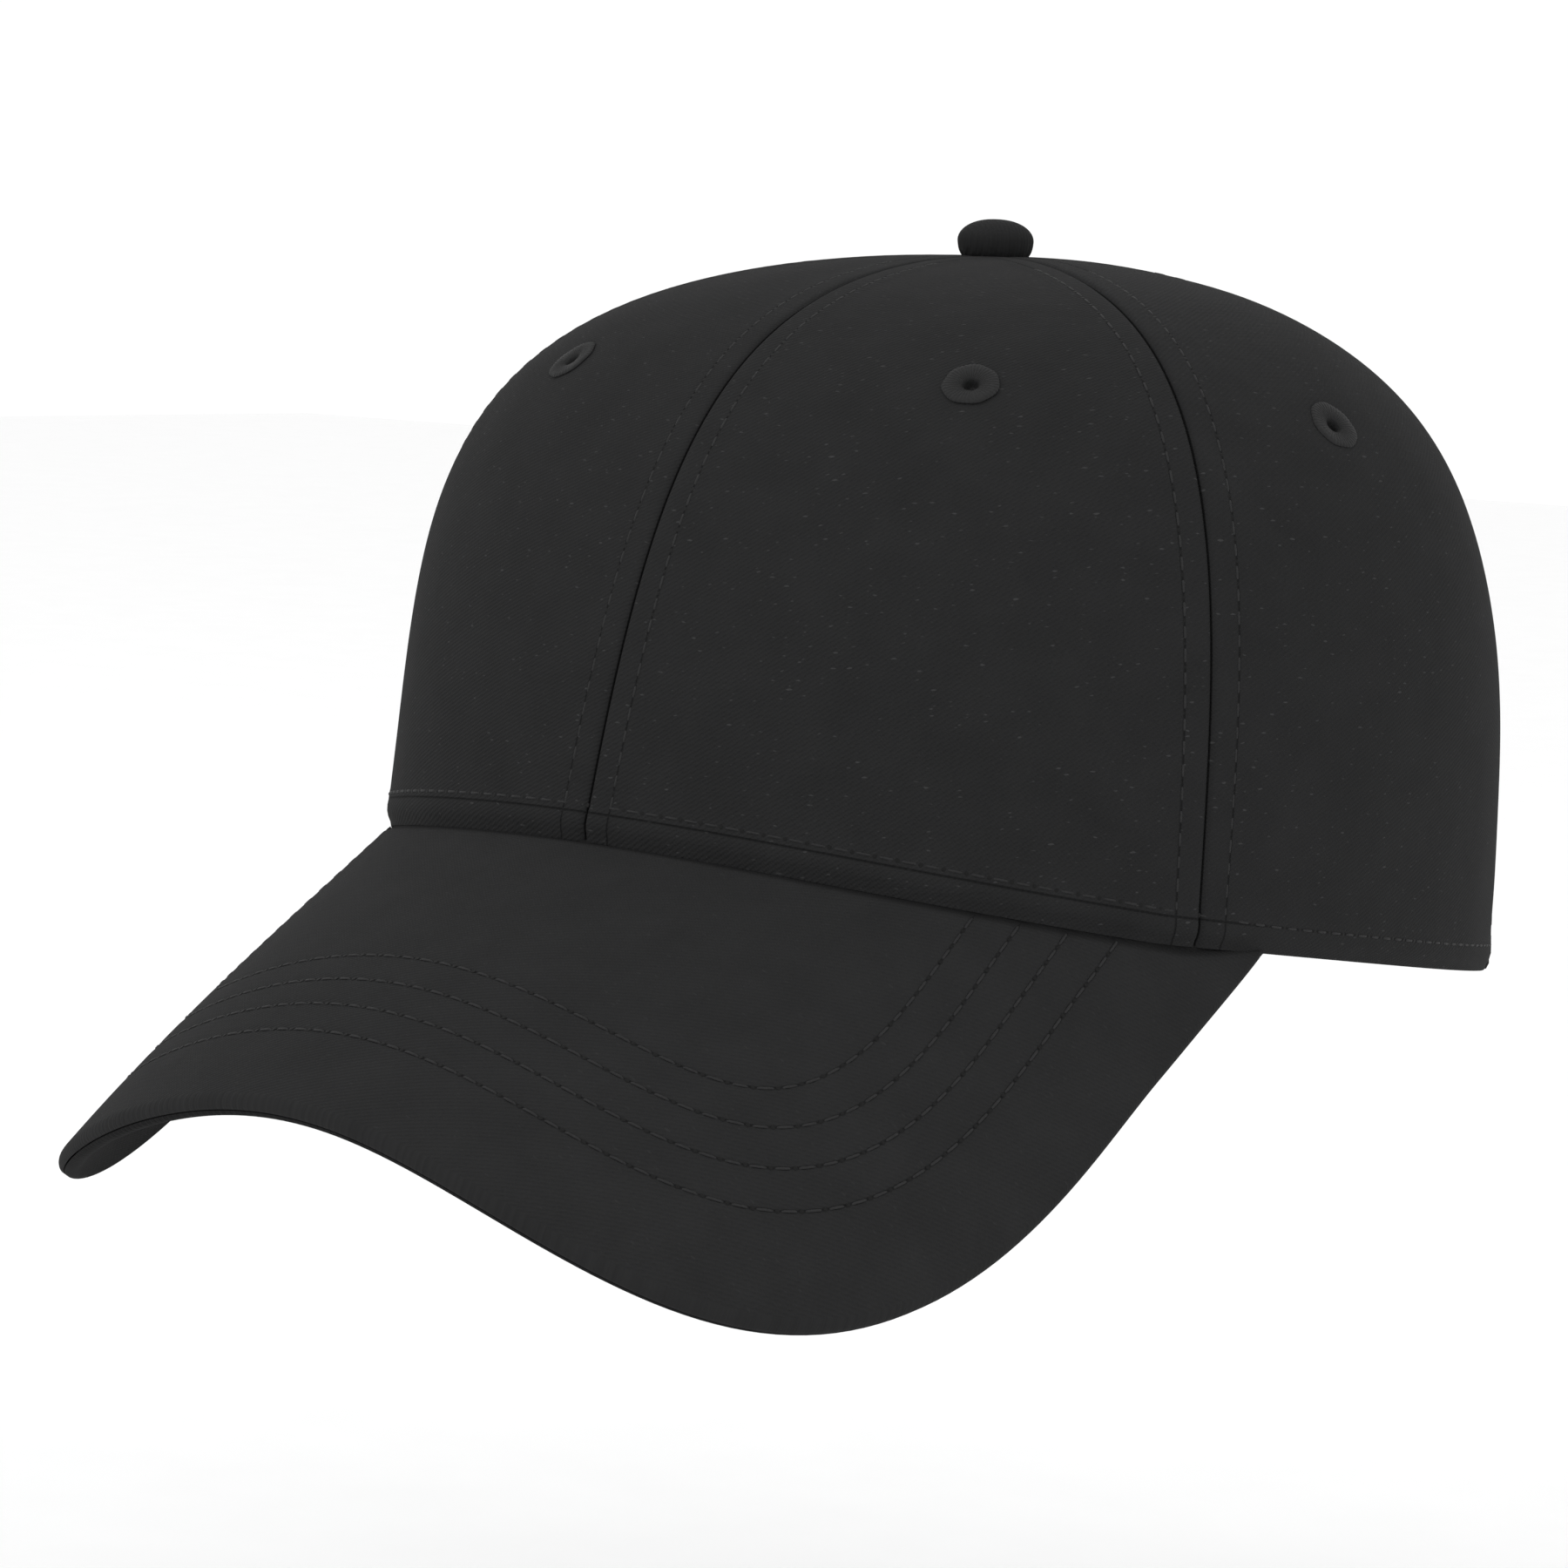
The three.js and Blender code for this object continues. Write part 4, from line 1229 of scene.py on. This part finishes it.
def camera():
    a, e, roll = CAMERA_AZIMUTH, CAMERA_ELEVATION, CAMERA_ROLL
    right = Vector((math.cos(a), math.sin(a), 0))
    back = Vector((math.sin(a) * math.cos(e), -math.cos(a) * math.cos(e), math.sin(e)))
    up = back.cross(right)
    leaned = right * math.cos(roll) + up * math.sin(roll)
    head = up * math.cos(roll) - right * math.sin(roll)
    spot = CAMERA_TARGET + back * CAMERA_DISTANCE
    aim = CAMERA_TARGET + leaned * CAMERA_AIM[0] + head * CAMERA_AIM[1]
    back = (spot - aim).normalized()
    leaned = head.cross(back).normalized()
    head = back.cross(leaned)
    lens = bpy.data.cameras.new("camera")
    lens.lens = CAMERA_LENS
    lens.sensor_width = 36.0
    made = bpy.data.objects.new("camera", lens)
    place = Matrix((leaned, head, back)).transposed().to_4x4()
    place.translation = spot * MM
    made.matrix_world = place
    bpy.context.scene.collection.objects.link(made)
    bpy.context.scene.camera = made


def area_light(name, spot, size, power):
    light = bpy.data.lights.new(name, "AREA")
    light.size = size
    light.energy = power
    made = bpy.data.objects.new(name, light)
    made.location = spot
    made.rotation_euler = (Vector(LIGHT_AIM) - Vector(spot)).to_track_quat("-Z", "Y").to_euler()
    bpy.context.scene.collection.objects.link(made)


def studio():
    """An even white surround with two soft lights, over a pale floor."""
    world = bpy.data.worlds.new("studio")
    bpy.context.scene.world = world
    bpy.context.scene.view_settings.view_transform = "Standard"
    world.use_nodes = True
    surround = world.node_tree.nodes["Background"]
    surround.inputs["Color"].default_value = (1, 1, 1, 1)
    surround.inputs["Strength"].default_value = WORLD_STRENGTH
    corners = [(-1, -1), (1, -1), (1, 1), (-1, 1)]
    floor = bpy.data.meshes.new("floor")
    points = [(x * FLOOR_HALF, y * FLOOR_HALF, FLOOR_Z) for x, y in corners]
    floor.from_pydata(points, [], [(0, 1, 2, 3)])
    plane = bpy.data.objects.new("floor", floor)
    bpy.context.scene.collection.objects.link(plane)
    paper = Look("studio_paper", 0.95)
    paper.colour(paper.mix(paper.grain(40.0), (0.93, 0.93, 0.93), (0.96, 0.96, 0.96)))
    floor.materials.append(paper.material)
    area_light("key", (-0.9, -1.5, 1.7), 1.6, 8)
    area_light("fill", (1.9, -0.6, 1.1), 1.8, 4)


# ---------------- assembly
crown_panels()
crown_stitching()
eyelets()
seam_tapes()
arch_binding()
woven_label()
sweatband()
brim()
button()
hole_strap()
peg_strap()
camera()
studio()
